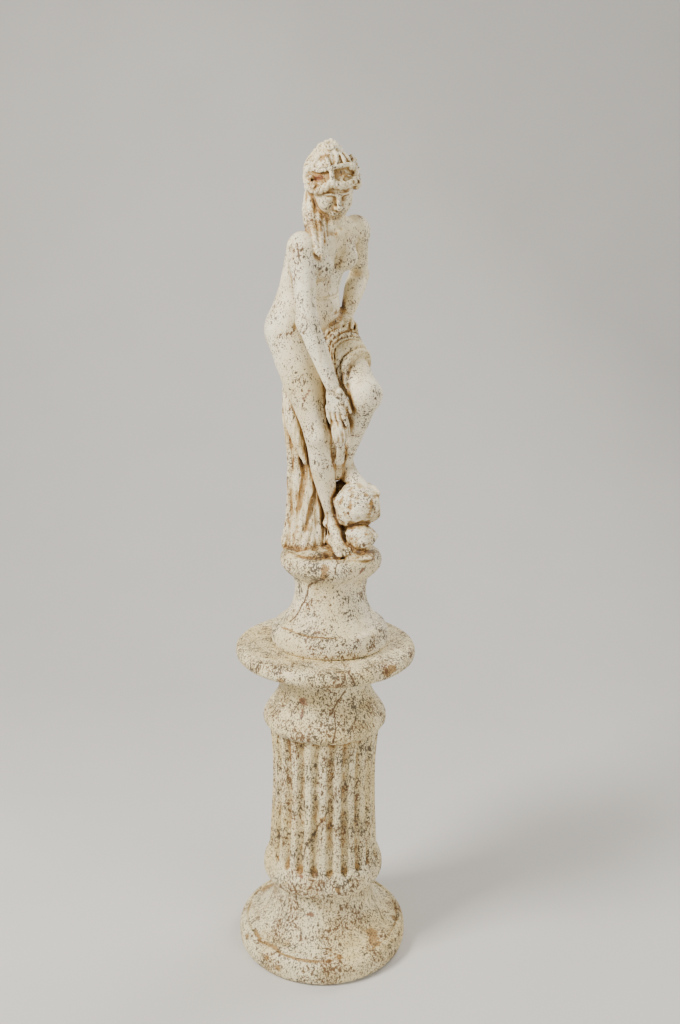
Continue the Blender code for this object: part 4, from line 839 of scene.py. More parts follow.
# The space that the figure fills, in drawn millimetres, grid cells to a side of a block of it, and
# points worked out at a time
FIELD_LOW = (-150, -125, -190)
FIELD_HIGH = (130, 190, 750)
COARSE = 4
CHUNK = 150000
CORNERS = [(i, j, k) for i in (0, 1) for j in (0, 1) for k in (0, 1)]


def measure(points):
    """The figure's distance at scattered points, worked through from the ground up."""
    order = np.argsort(points[:, 2], kind="stable")
    out = np.empty(len(points))
    for i in range(0, len(points), CHUNK):
        out[order[i : i + CHUNK]] = figure(points[order[i : i + CHUNK]])
    return out


def sample(h):
    """Distances on a grid of this step: exact near the surface, only inside or outside away from it."""
    block = h * COARSE
    low = np.asarray(FIELD_LOW, float)
    n = np.ceil((np.asarray(FIELD_HIGH) - low) / block).astype(int)
    axes = [low[i] + block * (np.arange(n[i]) + 0.5) for i in range(3)]
    centres = np.stack(np.meshgrid(*axes, indexing="ij"), -1).reshape(-1, 3)
    rough = measure(centres)
    fill = np.repeat((np.sign(rough) * block).astype(np.float32), COARSE**3).reshape(len(centres), -1)
    hot = np.flatnonzero(np.abs(rough) < block * 0.95 + 4)
    offsets = (np.arange(COARSE) + 0.5) * h - block / 2
    inner = np.stack(np.meshgrid(offsets, offsets, offsets, indexing="ij"), -1).reshape(-1, 3)
    fine = measure((centres[hot][:, None, :] + inner[None]).reshape(-1, 3))
    fill[hot] = fine.reshape(len(hot), -1)
    grid = fill.reshape(*n, COARSE, COARSE, COARSE).transpose(0, 3, 1, 4, 2, 5).reshape(n * COARSE)
    return grid, low + 0.5 * h


def corner_views(a):
    """The eight corners of every cell of a grid."""
    nx, ny, nz = (s - 1 for s in a.shape)
    return [a[i : i + nx, j : j + ny, k : k + nz] for i, j, k in CORNERS]


def fill_pinches(grid):
    """Fills places where the surface would touch itself only along an edge or at a corner."""
    for _ in range(12):
        solid = grid < 0
        fill = np.zeros_like(solid)
        for a, b in ((0, 1), (0, 2), (1, 2)):
            here = [slice(None)] * 3
            views = {}
            for i in (0, 1):
                for j in (0, 1):
                    here[a] = slice(i, solid.shape[a] - 1 + i)
                    here[b] = slice(j, solid.shape[b] - 1 + j)
                    views[i, j] = tuple(here)
            s = {key: solid[view] for key, view in views.items()}
            cross = (s[0, 0] == s[1, 1]) & (s[0, 1] == s[1, 0]) & (s[0, 0] != s[0, 1])
            for view in views.values():
                fill[view] |= cross
        corners = corner_views(solid)
        count = sum(c.astype(np.int8) for c in corners)
        twin = np.zeros(count.shape, bool)
        for i in range(4):
            same = corners[i] == corners[7 - i]
            twin |= same & (((count == 2) & corners[i]) | ((count == 6) & ~corners[i]))
        for view in corner_views(fill):
            view |= twin
        change = fill & ~solid
        if not change.any():
            return
        grid[change] = -0.05


def surface_of(grid, origin, h):
    """The quad mesh of the grid's zero level, one point in each cell that it crosses."""
    solid = grid < 0
    count = sum(c.astype(np.int8) for c in corner_views(solid))
    cells = np.argwhere((count > 0) & (count < 8))
    index = np.full(count.shape, -1, np.int64)
    index[tuple(cells.T)] = np.arange(len(cells))
    values = np.stack([grid[tuple((cells + corner).T)] for corner in CORNERS], 1)
    values = np.clip(values, -1.8 * h, 1.8 * h)
    total = np.zeros((len(cells), 3))
    number = np.zeros(len(cells))
    place = np.array(CORNERS, float)
    for a in range(8):
        for axis in range(3):
            if CORNERS[a][axis]:
                continue
            b = a + (4 >> axis)
            crossed = (values[:, a] < 0) != (values[:, b] < 0)
            gap = np.where(crossed, values[:, a] - values[:, b], 1)
            t = np.where(crossed, values[:, a] / gap, 0)
            total += np.where(crossed[:, None], place[a] + t[:, None] * (place[b] - place[a]), 0)
            number += crossed
    points = origin + h * (cells + total / number[:, None])
    quads = []
    for axis in range(3):
        u, w = (axis + 1) % 3, (axis + 2) % 3
        first = [slice(None)] * 3
        second = [slice(None)] * 3
        first[axis] = slice(0, -1)
        second[axis] = slice(1, None)
        a, b = solid[tuple(first)], solid[tuple(second)]
        for crossing, back in ((a & ~b, False), (~a & b, True)):
            p = np.argwhere(crossing)
            ring = []
            for du, dw in ((1, 1), (0, 1), (0, 0), (1, 0)):
                q = p.copy()
                q[:, u] -= du
                q[:, w] -= dw
                ring.append(index[tuple(q.T)])
            ring = np.stack(ring, 1)
            quads.append(ring[:, ::-1] if back else ring)
    return points, np.concatenate(quads)


def normals_of(points, quads):
    d = np.cross(points[quads[:, 2]] - points[quads[:, 0]], points[quads[:, 3]] - points[quads[:, 1]])
    sums = [sum(np.bincount(quads[:, j], d[:, a], len(points)) for j in range(4)) for a in range(3)]
    n = np.stack(sums, 1)
    return n / np.maximum(np.linalg.norm(n, axis=1, keepdims=True), 1e-12)


def settle(points, quads, h, rounds=2):
    """Moves the points of the mesh onto the figure's own surface."""
    for _ in range(rounds):
        step = np.clip(measure(points) * 0.9, -0.5 * h, 0.5 * h)
        points = points - normals_of(points, quads) * step[:, None]
    return points


def outer_surface(points, quads):
    """Only the outermost closed surface, without the walls of hollows shut up inside."""
    label = np.arange(len(points))
    ends = np.concatenate([quads[:, [i, (i + 1) % 4]] for i in range(4)])
    while True:
        a, b = label[ends[:, 0]], label[ends[:, 1]]
        apart = a != b
        if not apart.any():
            break
        label[np.maximum(a, b)[apart]] = np.minimum(a, b)[apart]
        while (label[label] != label).any():
            label = label[label]
    piece = label[quads[:, 0]]
    kept = quads[piece == np.bincount(piece).argmax()]
    used = np.unique(kept)
    index = np.full(len(points), -1, np.int64)
    index[used] = np.arange(len(used))
    return points[used], index[kept]


def pedestal_sections():
    """The pedestal's profile from the underside up: heights and radii in metres for each moulding."""
    plate = ((0, 0.94), (0.08, 0.978), (0.32, 1), (0.6, 1), (0.82, 0.978), (0.95, 0.942), (1, 0.915))
    lip = PLATE_RADIUS * 0.885
    groove = [
        (PLATE_HEIGHT, PLATE_RADIUS * 0.915), (PLATE_HEIGHT - GROOVE_DEPTH, PLATE_RADIUS * 0.90),
        (PLATE_HEIGHT, lip),
    ]
    cove = ((0, 0), (0.065, 0.28), (0.21, 0.63), (0.45, 0.90), (1, 1))
    foot_top = PLATE_HEIGHT + FOOT_HEIGHT
    ring = ((0, 0), (0.06, 0.5), (0.15, 0.85), (0.29, 1), (0.48, 1), (0.75, 0.75))
    shaft_low = foot_top + RING_HEIGHT
    shaft_top = shaft_low + SHAFT_HEIGHT
    capital = (
        (0.03, 0.80), (0.12, 1), (0.21, 1), (0.31, 0.87), (0.49, 0.50), (0.66, 0.18), (0.82, 0.02), (1, 0),
    )
    neck = shaft_top + CAPITAL_HEIGHT
    under = ((0, 0), (0.5, 0.07), (0.86, 0.30), (1, 0.69))
    disc_low = neck + NECKING_HEIGHT
    disc = ((0.04, 0.94), (0.22, 0.985), (0.5, 1), (0.8, 0.985), (0.97, 0.94), (1, 0.905))
    ring_rows = moulding(ring, foot_top, RING_HEIGHT, WAIST_RADIUS, RING_RADIUS)
    ring_rows.append((shaft_low, SHAFT_RADIUS * 1.01))
    shares = ((0, 1.01), (0.08, 1), (0.97, 1), (1, 1.01))
    shaft = [(shaft_low + t * SHAFT_HEIGHT, SHAFT_RADIUS * r) for t, r in shares]
    return [
        moulding(plate, 0, PLATE_HEIGHT, 0, PLATE_RADIUS), groove,
        moulding(cove, PLATE_HEIGHT, FOOT_HEIGHT, lip, WAIST_RADIUS), ring_rows, shaft,
        moulding(capital, shaft_top, CAPITAL_HEIGHT, THROAT_RADIUS, CAPITAL_RADIUS),
        moulding(under, neck, NECKING_HEIGHT, THROAT_RADIUS, DISC_RADIUS),
        moulding(disc, disc_low, DISC_HEIGHT, 0, DISC_RADIUS),
    ]


# The shaft's place among the sections, its ends, where the round ends of the flutes reach down to,
# their depth, and the share of a flute's spacing that half a ridge takes
SHAFT_SECTION = 4
SHAFT_LOW = PLATE_HEIGHT + FOOT_HEIGHT + RING_HEIGHT
SHAFT_TOP = SHAFT_LOW + SHAFT_HEIGHT
SCOOP_LOW = SHAFT_LOW - 0.010
CARVED_FLUTE_DEPTH = 1.2 * FLUTE_DEPTH
RIDGE_SHARE = 0.20


def pedestal_rows():
    """Evenly spread heights and radii along the whole profile; the straight shaft gets fewer rows."""
    sections = pedestal_sections()
    lengths = [np.hypot(*np.diff(np.asarray(rows), axis=0).T).sum() for rows in sections]
    weights = np.array(lengths) * np.where(np.arange(len(lengths)) == SHAFT_SECTION, 0.75, 1.0)
    counts = np.maximum(2, np.round(PEDESTAL_ROWS * weights / weights.sum())).astype(int)
    curves = [smooth_profile(rows, count) for rows, count in zip(sections, counts)]
    heights = np.concatenate([z for z, _ in curves])
    radii = np.concatenate([r for _, r in curves])
    apart = np.r_[True, np.hypot(np.diff(heights), np.diff(radii)) > 1e-5]
    return heights[apart], radii[apart]


def flute_depth(turn, z):
    """How deep the flutes are at an angle and height: round troughs with a round end at the bottom."""
    place = (turn * FLUTES / (2 * np.pi) + 0.5) % 1
    half_width = (0.5 - RIDGE_SHARE) * 2 * np.pi * SHAFT_RADIUS / FLUTES
    u = (place - 0.5) / (0.5 - RIDGE_SHARE)
    below = np.clip((SCOOP_LOW + half_width * 1.3 - z) / (half_width * 1.3), 0, None)
    rise = np.clip(1 - u * u - below * below, 0, None)
    under_capital = np.clip((SHAFT_TOP + 0.001 - z) / 0.004, 0, 1)
    return CARVED_FLUTE_DEPTH * np.sqrt(rise) * under_capital


STATUE_PLACE = vec(STATUE_OFFSET - SOCLE_SHIFT * SCALE, 0, 0)
PEDESTAL_HEIGHT = sum(
    (PLATE_HEIGHT, FOOT_HEIGHT, RING_HEIGHT, SHAFT_HEIGHT, CAPITAL_HEIGHT, NECKING_HEIGHT, DISC_HEIGHT)
)
STATUE_PLACE[2] = PEDESTAL_HEIGHT + REST_GAP + SOCLE_HEIGHT


# Marks on the turned parts: half width in metres, and places by degrees from the front and height
PEDESTAL_CRACKS = (
    (0.0028, ((26, 0.5727), (18, 0.5587), (6.4, 0.5329))),
    (0.0018, ((11, 0.5389), (11.6, 0.5138), (7.4, 0.488))),
    (0.0020, ((-0.7, 0.3176), (-13.9, 0.2726), (-19.2, 0.2491), (-21.3, 0.2265))),
    (0.0017, ((79, 0.101), (81, 0.0746), (72, 0.0576))), (0.0017, ((15.8, 0.6453), (18.5, 0.6250))),
    (0.0024, ((-0.7, 0.184),)), (0.0013, ((158, 0.560), (150, 0.505), (162, 0.430))),
)
PEDESTAL_STAINS = (
    (
        0.0045,
        (
            (-63.6, 0.050), (-51, 0.0497), (-38, 0.050), (-28, 0.0494), (-18, 0.0491), (-7, 0.0487),
            (7, 0.0491),
        ),
    ),
    (0.0070, ((-64, 0.040),)), (0.0060, ((-38.6, 0.0347),)), (0.0065, ((-29.1, 0.0259),)),
    (0.0130, ((46, 0.052), (50, 0.060))), (0.0075, ((13.9, 0.050),)), (0.0090, ((82, 0.050),)),
    (0.0080, ((-26.8, 0.6243),)), (0.0090, ((41, 0.6349), (47, 0.6378))),
    (0.0070, ((-0.7, 0.3176), (7, 0.330))), (0.0060, ((15, 0.1769),)),
    (0.0140, ((-120, 0.055), (-128, 0.070))), (0.0120, ((130, 0.6300),)),
    (0.0110, ((175, 0.0450), (184, 0.060))), (0.0090, ((-160, 0.4900), (-150, 0.5050))),
)
PEDESTAL_RUST = (
    (0.0070, ((-28, 0.5553), (-24, 0.5500))), (0.0035, ((-26, 0.540), (-24, 0.527))),
    (0.0032, ((28.5, 0.4722), (26.5, 0.4421), (23.5, 0.4122), (20, 0.380), (18.5, 0.3615))),
    (0.0028, ((55, 0.372), (55.7, 0.339))), (0.0050, ((-15, 0.1088), (-11, 0.1100))),
    (0.0045, ((-26, 0.2018), (-21, 0.1980))), (0.0060, ((120, 0.5500), (126, 0.5420))),
    (0.0050, ((-110, 0.210), (-114, 0.190))),
)
# Cracks of the socle, with heights above the pedestal's top
SOCLE_CRACKS = (
    (0.0021, ((-7, 0.150), (-31.6, 0.1295), (-43.5, 0.1003), (-57.2, 0.0536))),
    (0.0012, ((8, 0.184), (5, 0.160))), (0.0011, ((140, 0.150), (148, 0.120), (146, 0.070))),
)
# Marks on the figure: half width and places in drawn millimetres
FIGURE_STAINS = (
    (3.5, ((-52, 20, 156), (-57, 12, 110), (-63, 13, 69))),
    (3.5, ((-33, 19, 99), (-40, 14, 67), (-47, 4, 35))), (3.0, ((-6, 2, 69), (-3, 4, 6))),
    (2.5, ((-82, 24, 126), (-80, 19, 50), (-75, -2, 6))),
    (3.0, ((29, -68, 305), (33, -64, 291), (27, -76, 265))), (2.0, ((-16, -15, 309), (-9, -29, 233))),
    (3.5, ((4, -23, 576),)), (5.0, ((-49, -6, 645), (-45, -8, 632))),
    (4.5, ((-51, -31, 585), (-47, -38, 574))), (2.6, ((-24, -24, 614), (-21, -49, 580))),
    (6.0, ((1, -58, 671), (10, -55, 674), (20, -54, 672))),
    (8.0, ((-31, -46, 665), (-22, -55, 666), (-12, -56, 668))),
    (6.0, ((-21, -45, 698), (-16, -50, 702))), (4.0, ((22, 46, 443), (4, 0, 440))),
    (4.0, ((77, -38, 104), (67, -51, 45))), (3.0, ((40, -22, 125), (15, -33, 93))),
    (3.0, ((-76, -20, -1), (-50, -56, -2), (-16, -70, -3), (30, -66, -2), (64, -45, -1))),
    (5.0, ((-60, 60, 300), (-64, 55, 250), (-66, 50, 190))),
    (4.0, ((20, 84, 200), (12, 80, 120), (16, 78, 40))),
)
FIGURE_RUST = (
    (4.0, ((-31, -46, 665), (-22, -55, 666))), (3.0, ((-38, -38, 304), (-53, -37, 286))),
    (3.0, ((41, -43, 48),)),
)
# Marks on the socle, with heights above the pedestal's top
SOCLE_STAINS = (
    (0.0075, ((-6, 0.1744), (-7, 0.1556))),
    (0.0026, ((-62, 0.0412), (-40, 0.0415), (-20, 0.041), (0, 0.0412), (12, 0.0415))),
    (0.0080, ((-120, 0.0440), (-135, 0.0500))),
)
SOCLE_RUST = ((0.0040, ((35, 0.16), (38, 0.165))),)


def turned_places(heights, radii, axis, places):
    """Points on a turned surface, given by their angle from the front in degrees and their height."""
    made = []
    for degrees, z in places:
        r = np.interp(z, heights, radii)
        a = np.radians(degrees)
        made.append((float(axis + r * np.sin(a)), float(-r * np.cos(a)), float(z)))
    return made


def pedestal_marks(lines):
    rows = np.array([row for section in pedestal_sections() for row in section])
    return [(half, turned_places(rows[:, 0], rows[:, 1], 0.0, places)) for half, places in lines]


def statue_marks(turned, drawn):
    """Marks on the socle by angle and height above the pedestal, and on the figure in drawn millimetres."""
    base = PEDESTAL_HEIGHT + REST_GAP
    heights = SOCLE_ROWS[:, 0] * SCALE + base + SOCLE_HEIGHT
    made = []
    for half, places in turned:
        raised = [(degrees, base + z) for degrees, z in places]
        made.append((half, turned_places(heights, SOCLE_ROWS[:, 1] * SCALE, STATUE_OFFSET, raised)))
    for half, points in drawn:
        made.append((half * SCALE, [vec(*p) * SCALE + STATUE_PLACE for p in points]))
    return made


def chips(points, count, least, most, seed):
    """Depths in metres of shallow chips knocked out of the surface at random places."""
    random = np.random.default_rng(seed)
    depth = np.zeros(len(points))
    for place in random.choice(len(points), count, replace=False):
        half = random.uniform(least, most) ** 2 / most
        stretch = np.array([1.0, 1.0, random.uniform(0.5, 1.6)])
        gap = np.linalg.norm((points - points[place]) * stretch, axis=1)
        depth = np.maximum(depth, 0.32 * half * np.clip(1 - (gap / half) ** 2, 0, 1))
    return depth


def nearness(points, lines):
    """One on a line of marks and nought at its half width from it, at every point; all in metres."""
    total = np.zeros(len(points))
    for half, line in lines:
        line = np.asarray(line)
        gap = np.full(len(points), np.inf)
        for a, b in zip(line, line[1:] if len(line) > 1 else line):
            way = b - a
            share = np.clip((points - a) @ way / max(way @ way, 1e-12), 0, 1)
            gap = np.minimum(gap, np.linalg.norm(points - a - share[:, None] * way, axis=1))
        total = np.maximum(total, np.clip(1.6 - 1.1 * gap / half, 0, 1))
    return total


# The crease of the waist, where the wash and the painted shade stay faint
WAIST_CREASE = ((11.0, ((-24, -16, 460), (-9, -6, 460), (4, 4, 460), (14, 26, 460))),)


def linked(name, data):
    """A new object of the scene that holds this data."""
    made = bpy.data.objects.new(name, data)
    bpy.context.collection.objects.link(made)
    return made


def mesh_piece(name, points, faces):
    """A smooth-shaded mesh object from arrays of points and equal-sided faces."""
    sides = faces.shape[1]
    mesh = bpy.data.meshes.new(name)
    mesh.vertices.add(len(points))
    mesh.vertices.foreach_set("co", points.astype(np.float32).ravel())
    mesh.loops.add(faces.size)
    mesh.loops.foreach_set("vertex_index", faces.astype(np.int32).ravel())
    mesh.polygons.add(len(faces))
    mesh.polygons.foreach_set("loop_start", np.arange(0, faces.size, sides, dtype=np.int32))
    mesh.polygons.foreach_set("loop_total", np.full(len(faces), sides, np.int32))
    mesh.update(calc_edges=True)
    mesh.shade_smooth()
    return linked(name, mesh)


def baked(obj, name):
    """A new object that holds another's shape with its modifiers carried out."""
    graph = bpy.context.evaluated_depsgraph_get()
    mesh = bpy.data.meshes.new_from_object(obj.evaluated_get(graph))
    mesh.name = name
    mesh.shade_smooth()
    made = linked(name, mesh)
    bpy.data.objects.remove(obj)
    return made


def read_vectors(rows, key):
    values = np.empty(len(rows) * 3, np.float32)
    rows.foreach_get(key, values)
    return values.reshape(-1, 3).astype(float)


def write_attribute(mesh, name, values):
    layer = mesh.attributes.new(name, "FLOAT", "POINT")
    layer.data.foreach_set("value", np.asarray(values, np.float32))


def mark_surface(mesh, points, stains, rust):
    write_attribute(mesh, "stain", nearness(points, stains))
    write_attribute(mesh, "rust", nearness(points, rust))


def nearby(part, points, reach):
    """One on the surface of a part of the figure, and nought further than this from it."""
    clay = Clay(points)
    part(clay)
    return np.clip(1.3 - np.abs(clay.d) / reach, 0, 1)


def wear(points):
    """Depth of the fine relief on rock, cloth, hair and ground at every point, in drawn millimetres."""
    rock = nearby(rocks, points, 2.5)
    cloth = np.maximum(nearby(support, points, 2.5), nearby(drapery, points, 2.5)) * (1 - rock)
    tresses = nearby(hair, points, 2.0)
    ground = np.clip(1 - np.abs(points[:, 2] - 1) / 6, 0, 1)
    # Height of the bumps, where they are, the points that place them, and how far apart they are
    relief = (
        (0.7, rock, points, 13), (0.28, rock, points, 5), (0.55, cloth, points * vec(1, 1, 0.14), 4.5),
        (0.40, tresses, points * vec(1, 1, 0.6), 3.6), (0.45, ground, points, 8), (0.15, 1, points, 22),
    )
    depth = np.zeros(len(points))
    for seed, (height, share, places, spacing) in enumerate(relief, 5):
        depth += height * share * (1 + ripple(places, spacing, seed))
    return depth + chips(points, 150, 1.2, 5.0, 11)


# How far out from the surface each attribute of the wash and the painted shade feels for more surface, in
# drawn millimetres
WASH_AND_SHADE_REACHES = (("groove", 3.0), ("hollow", 8.0), ("shelter", 20.0))


def build_statue():
    grid, origin = sample(FIGURE_STEP)
    fill_pinches(grid)
    points, quads = outer_surface(*surface_of(grid, origin, FIGURE_STEP))
    points = settle(points, quads, FIGURE_STEP)
    points -= normals_of(points, quads) * wear(points)[:, None]
    rough = mesh_piece("statue_rough", points * SCALE + STATUE_PLACE, quads)
    thin = rough.modifiers.new("thin", "DECIMATE")
    thin.ratio = min(1.0, STATUE_TRIANGLES / (2 * len(quads)))
    statue = baked(rough, "statue_carving")
    points = read_vectors(statue.data.vertices, "co")
    normals = read_vectors(statue.data.vertex_normals, "vector")
    drawn = (points - STATUE_PLACE) / SCALE
    calm = 1 - 0.8 * nearness(drawn, WAIST_CREASE)
    # Occlusion measures: they set where the painted shade and the ochre wash darken the recesses
    for name, reach in WASH_AND_SHADE_REACHES:
        write_attribute(statue.data, name, calm * (1 - measure(drawn + normals * reach) / reach))
    stains = statue_marks(SOCLE_STAINS, FIGURE_STAINS)
    mark_surface(statue.data, points, stains, statue_marks(SOCLE_RUST, FIGURE_RUST))
    return statue


def concavity(points, rounds):
    """How far each point of a turned surface lies below its surroundings, in metres."""
    down = np.gradient(points, axis=0)
    across = np.roll(points, -1, 1) - np.roll(points, 1, 1)
    normal = np.cross(across, down)
    normal /= np.maximum(np.linalg.norm(normal, axis=2, keepdims=True), 1e-12)
    level = points
    for _ in range(rounds):
        padded = np.concatenate([level[:1], level, level[-1:]])
        beside = np.roll(level, 1, 1) + np.roll(level, -1, 1)
        level = (2 * level + padded[:-2] + padded[2:] + 2 * beside) / 8
    return ((level - points) * normal).sum(2).ravel()


def build_pedestal():
    heights, radii = pedestal_rows()
    n = len(heights)
    m = PEDESTAL_COLUMNS
    turn = 2 * np.pi * np.arange(m) / m
    run_z = np.gradient(heights)
    run_r = np.gradient(radii)
    length = np.hypot(run_z, run_r)
    out_r = (run_z / length)[:, None]
    out_z = (-run_r / length)[:, None]
    z = np.repeat(heights[:, None], m, 1)
    r = np.repeat(radii[:, None], m, 1)
    sunk = flute_depth(turn[None, :], z)
    round_face = np.stack([r * np.cos(turn), r * np.sin(turn), z], -1).reshape(-1, 3)
    uneven = 0.00018 * (1 + ripple(round_face * 1000, 45, 21))
    uneven += 0.00012 * (1 + ripple(round_face * 1000, 12, 22))
    uneven += chips(round_face, 260, 0.0018, 0.0075, 23)
    sunk = sunk + uneven.reshape(z.shape) * np.clip((z - 0.001) / 0.003, 0, 1)
    r = r - sunk * out_r
    z = z - sunk * out_z
    points = np.stack([r * np.cos(turn), r * np.sin(turn), z], -1)
    groove, hollow = concavity(points, 3), concavity(points, 24)
    points = points.reshape(-1, 3)
    i, j = np.meshgrid(np.arange(n - 1), np.arange(m), indexing="ij")
    a = i * m + j
    b = i * m + (j + 1) % m
    quads = np.stack([a, b, b + m, a + m], -1).reshape(-1, 4)
    pedestal = mesh_piece("pedestal_casting", points, quads)
    close_ends(pedestal.data)
    # Concavity measures: they set where the painted shade and the ochre wash darken the flute floors and
    # hollows
    write_attribute(pedestal.data, "groove", np.clip((groove - 0.0006) / 0.0008, 0, 1.1))
    write_attribute(pedestal.data, "hollow", np.clip(hollow / 0.0040, 0, 1.0))
    write_attribute(pedestal.data, "shelter", np.zeros(len(points)))
    mark_surface(pedestal.data, points, pedestal_marks(PEDESTAL_STAINS), pedestal_marks(PEDESTAL_RUST))
    return pedestal


def close_ends(mesh):
    """Closes the open first and last ring of a turned mesh with flat faces."""
    form = bmesh.new()
    form.from_mesh(mesh)
    bmesh.ops.holes_fill(form, edges=[e for e in form.edges if e.is_boundary], sides=0)
    bmesh.ops.recalc_face_normals(form, faces=form.faces[:])
    form.to_mesh(mesh)
    form.free()
    mesh.shade_smooth()


def linear(red, green, blue):
    """A colour given in screen values from 0 to 255, as the renderer takes it."""
    share = np.array([red, green, blue]) / 255
    light = np.where(share < 0.04045, share / 12.92, ((share + 0.055) / 1.055) ** 2.4)
    return tuple(float(c) for c in light) + (1.0,)


CREAM = linear(243, 233, 203)
WARM_CREAM = linear(233, 216, 170)
# Darker cream: painted shade in the hollows, and the coat's own darker streaks
DARK_CREAM_AND_PAINTED_SHADE = linear(198, 175, 120)
OCHRE = linear(158, 118, 54)
BROWN = linear(92, 60, 28)
RUST = linear(124, 66, 40)
FLECK = linear(72, 58, 42)
BROWN_FLECK = linear(96, 62, 30)


class Nodes:
    """Short calls for building a material's node tree."""

    def __init__(self, name):
        self.material = bpy.data.materials.new(name)
        self.material.use_nodes = True
        self.tree = self.material.node_tree
        self.shader = self.tree.nodes["Principled BSDF"]

    def put(self, socket, value):
        if isinstance(value, bpy.types.NodeSocket):
            self.tree.links.new(value, socket)
        elif value is not None:
            socket.default_value = value

    def node(self, kind, **settings):
        made = self.tree.nodes.new(kind)
        for key, value in settings.items():
            setattr(made, key, value)
        return made

    def maths(self, operation, a, b=None, c=None, clamp=False):
        made = self.node("ShaderNodeMath", operation=operation, use_clamp=clamp)
        for socket, value in zip(made.inputs, (a, b, c)):
            self.put(socket, value)
        return made.outputs[0]

    def steps(self, value, low, high, out_low=0.0, out_high=1.0):
        """A smooth step from low to high."""
        made = self.node("ShaderNodeMapRange", interpolation_type="SMOOTHSTEP")
        for socket, given in zip(made.inputs, (value, low, high, out_low, out_high)):
            self.put(socket, given)
        return made.outputs[0]

    def mix(self, share, a, b, blend="MIX"):
        """One colour over another; the node keeps its colours in sockets 6 and 7."""
        made = self.node("ShaderNodeMix", data_type="RGBA", blend_type=blend)
        self.put(made.inputs[0], share)
        self.put(made.inputs[6], a)
        self.put(made.inputs[7], b)
        return made.outputs[2]

    def noise(self, place, scale, detail=4.0, rough=0.55, warp=0.0, out="Fac"):
        made = self.node("ShaderNodeTexNoise")
        self.put(made.inputs["Vector"], place)
        self.put(made.inputs["Scale"], scale)
        self.put(made.inputs["Detail"], detail)
        self.put(made.inputs["Roughness"], rough)
        self.put(made.inputs["Distortion"], warp)
        return made.outputs[out]

    def vector(self, operation, a, b=None, scale=None, value=False):
        made = self.node("ShaderNodeVectorMath", operation=operation)
        self.put(made.inputs[0], a)
        if b is not None:
            self.put(made.inputs[1], b)
        if scale is not None:
            self.put(made.inputs["Scale"], scale)
        return made.outputs["Value" if value else "Vector"]

    def ragged(self, place, scale, amount):
        """The place shifted at random by up to about this much, so that edges drawn with it are uneven."""
        shift = self.vector("SUBTRACT", self.noise(place, scale, 3.0, 0.5, out="Color"), (0.5, 0.5, 0.5))
        return self.vector("ADD", place, self.vector("SCALE", shift, scale=amount))

    def away(self, place, a, b):
        """Distance from the place to the straight piece between two points."""
        a, b = Vector(a), Vector(b)
        way = b - a
        rest = self.vector("SUBTRACT", place, tuple(a))
        if way.length < 1e-6:
            return self.vector("LENGTH", rest, value=True)
        share = self.vector("DOT_PRODUCT", rest, tuple(way / way.length_squared), value=True)
        share = self.maths("MULTIPLY", share, 1.0, clamp=True)
        reached = self.vector("SCALE", tuple(way), scale=share)
        return self.vector("LENGTH", self.vector("SUBTRACT", rest, reached), value=True)

    def unrolled(self, place, axis, radius):
        """Place on the unrolled face of a turned body: distance round it from the front, and height."""
        split = self.node("ShaderNodeSeparateXYZ")
        self.put(split.inputs[0], place)
        x = self.maths("SUBTRACT", split.outputs[0], axis)
        turn = self.maths("ARCTAN2", x, self.maths("MULTIPLY", split.outputs[1], -1.0))
        flat = self.node("ShaderNodeCombineXYZ")
        self.put(flat.inputs[0], self.maths("MULTIPLY", turn, radius))
        self.put(flat.inputs[1], split.outputs[2])
        return flat.outputs[0]

    def marks(self, place, lines):
        """One near every line of marks and nought away from them; a line has a half width and its points."""
        total = None
        for half, points in lines:
            ends = list(zip(points[:-1], points[1:])) or [(points[0], points[0])]
            near = None
            for a, b in ends:
                d = self.away(place, a, b)
                near = d if near is None else self.maths("MINIMUM", near, d)
            mark = self.steps(near, half * 0.45, half * 1.15, 1.0, 0.0)
            total = mark if total is None else self.maths("MAXIMUM", total, mark)
        return total

    def attribute(self, name):
        return self.node("ShaderNodeAttribute", attribute_name=name).outputs["Fac"]


def cream_coat(n, place, tint):
    """Colour of the clean coat, a little warmer in patches and in upright streaks."""
    tall = n.vector("MULTIPLY", place, (1.0, 1.0, 0.16))
    colour = n.mix(n.steps(n.noise(place, 7.0, 3.0), 0.38, 0.66), CREAM, WARM_CREAM)
    streaks = n.steps(n.noise(tall, 75.0, 3.0, 0.6), 0.50, 0.70)
    colour = n.mix(n.maths("MULTIPLY", streaks, 0.35), colour, DARK_CREAM_AND_PAINTED_SHADE)
    return n.mix(1.0, colour, tint, "MULTIPLY")


def washed_and_shaded(n, place, colour, wash):
    """The colour with a wash of ochre and painted shade in the hollows, darker and browner where they are
    deepest.
    """
    groove = n.attribute("groove")
    hollow = n.attribute("hollow")
    depth = n.maths("ADD", n.maths("MULTIPLY", groove, 0.80), n.maths("MULTIPLY", hollow, 0.70))
    depth = n.maths("MULTIPLY_ADD", n.attribute("shelter"), 0.20, depth)
    patchy = n.maths("MULTIPLY_ADD", n.noise(place, 55.0, 3.0, 0.65), 1.3, -0.65)
    patchy = n.maths("ADD", patchy, n.maths("MULTIPLY_ADD", n.noise(place, 11.0, 2.0), 1.2, -0.6))
    depth = n.maths("ADD", n.maths("ADD", depth, patchy), wash)
    # Painted shade together with the ochre wash: deeper and more sheltered places turn darker cream, then
    # ochre, then brown
    colour = n.mix(n.steps(depth, 0.22, 0.62, 0.0, 0.55), colour, DARK_CREAM_AND_PAINTED_SHADE)
    colour = n.mix(n.steps(depth, 0.45, 1.0, 0.0, 0.9), colour, OCHRE)
    return n.mix(n.steps(depth, 1.0, 1.6, 0.0, 0.85), colour, BROWN)


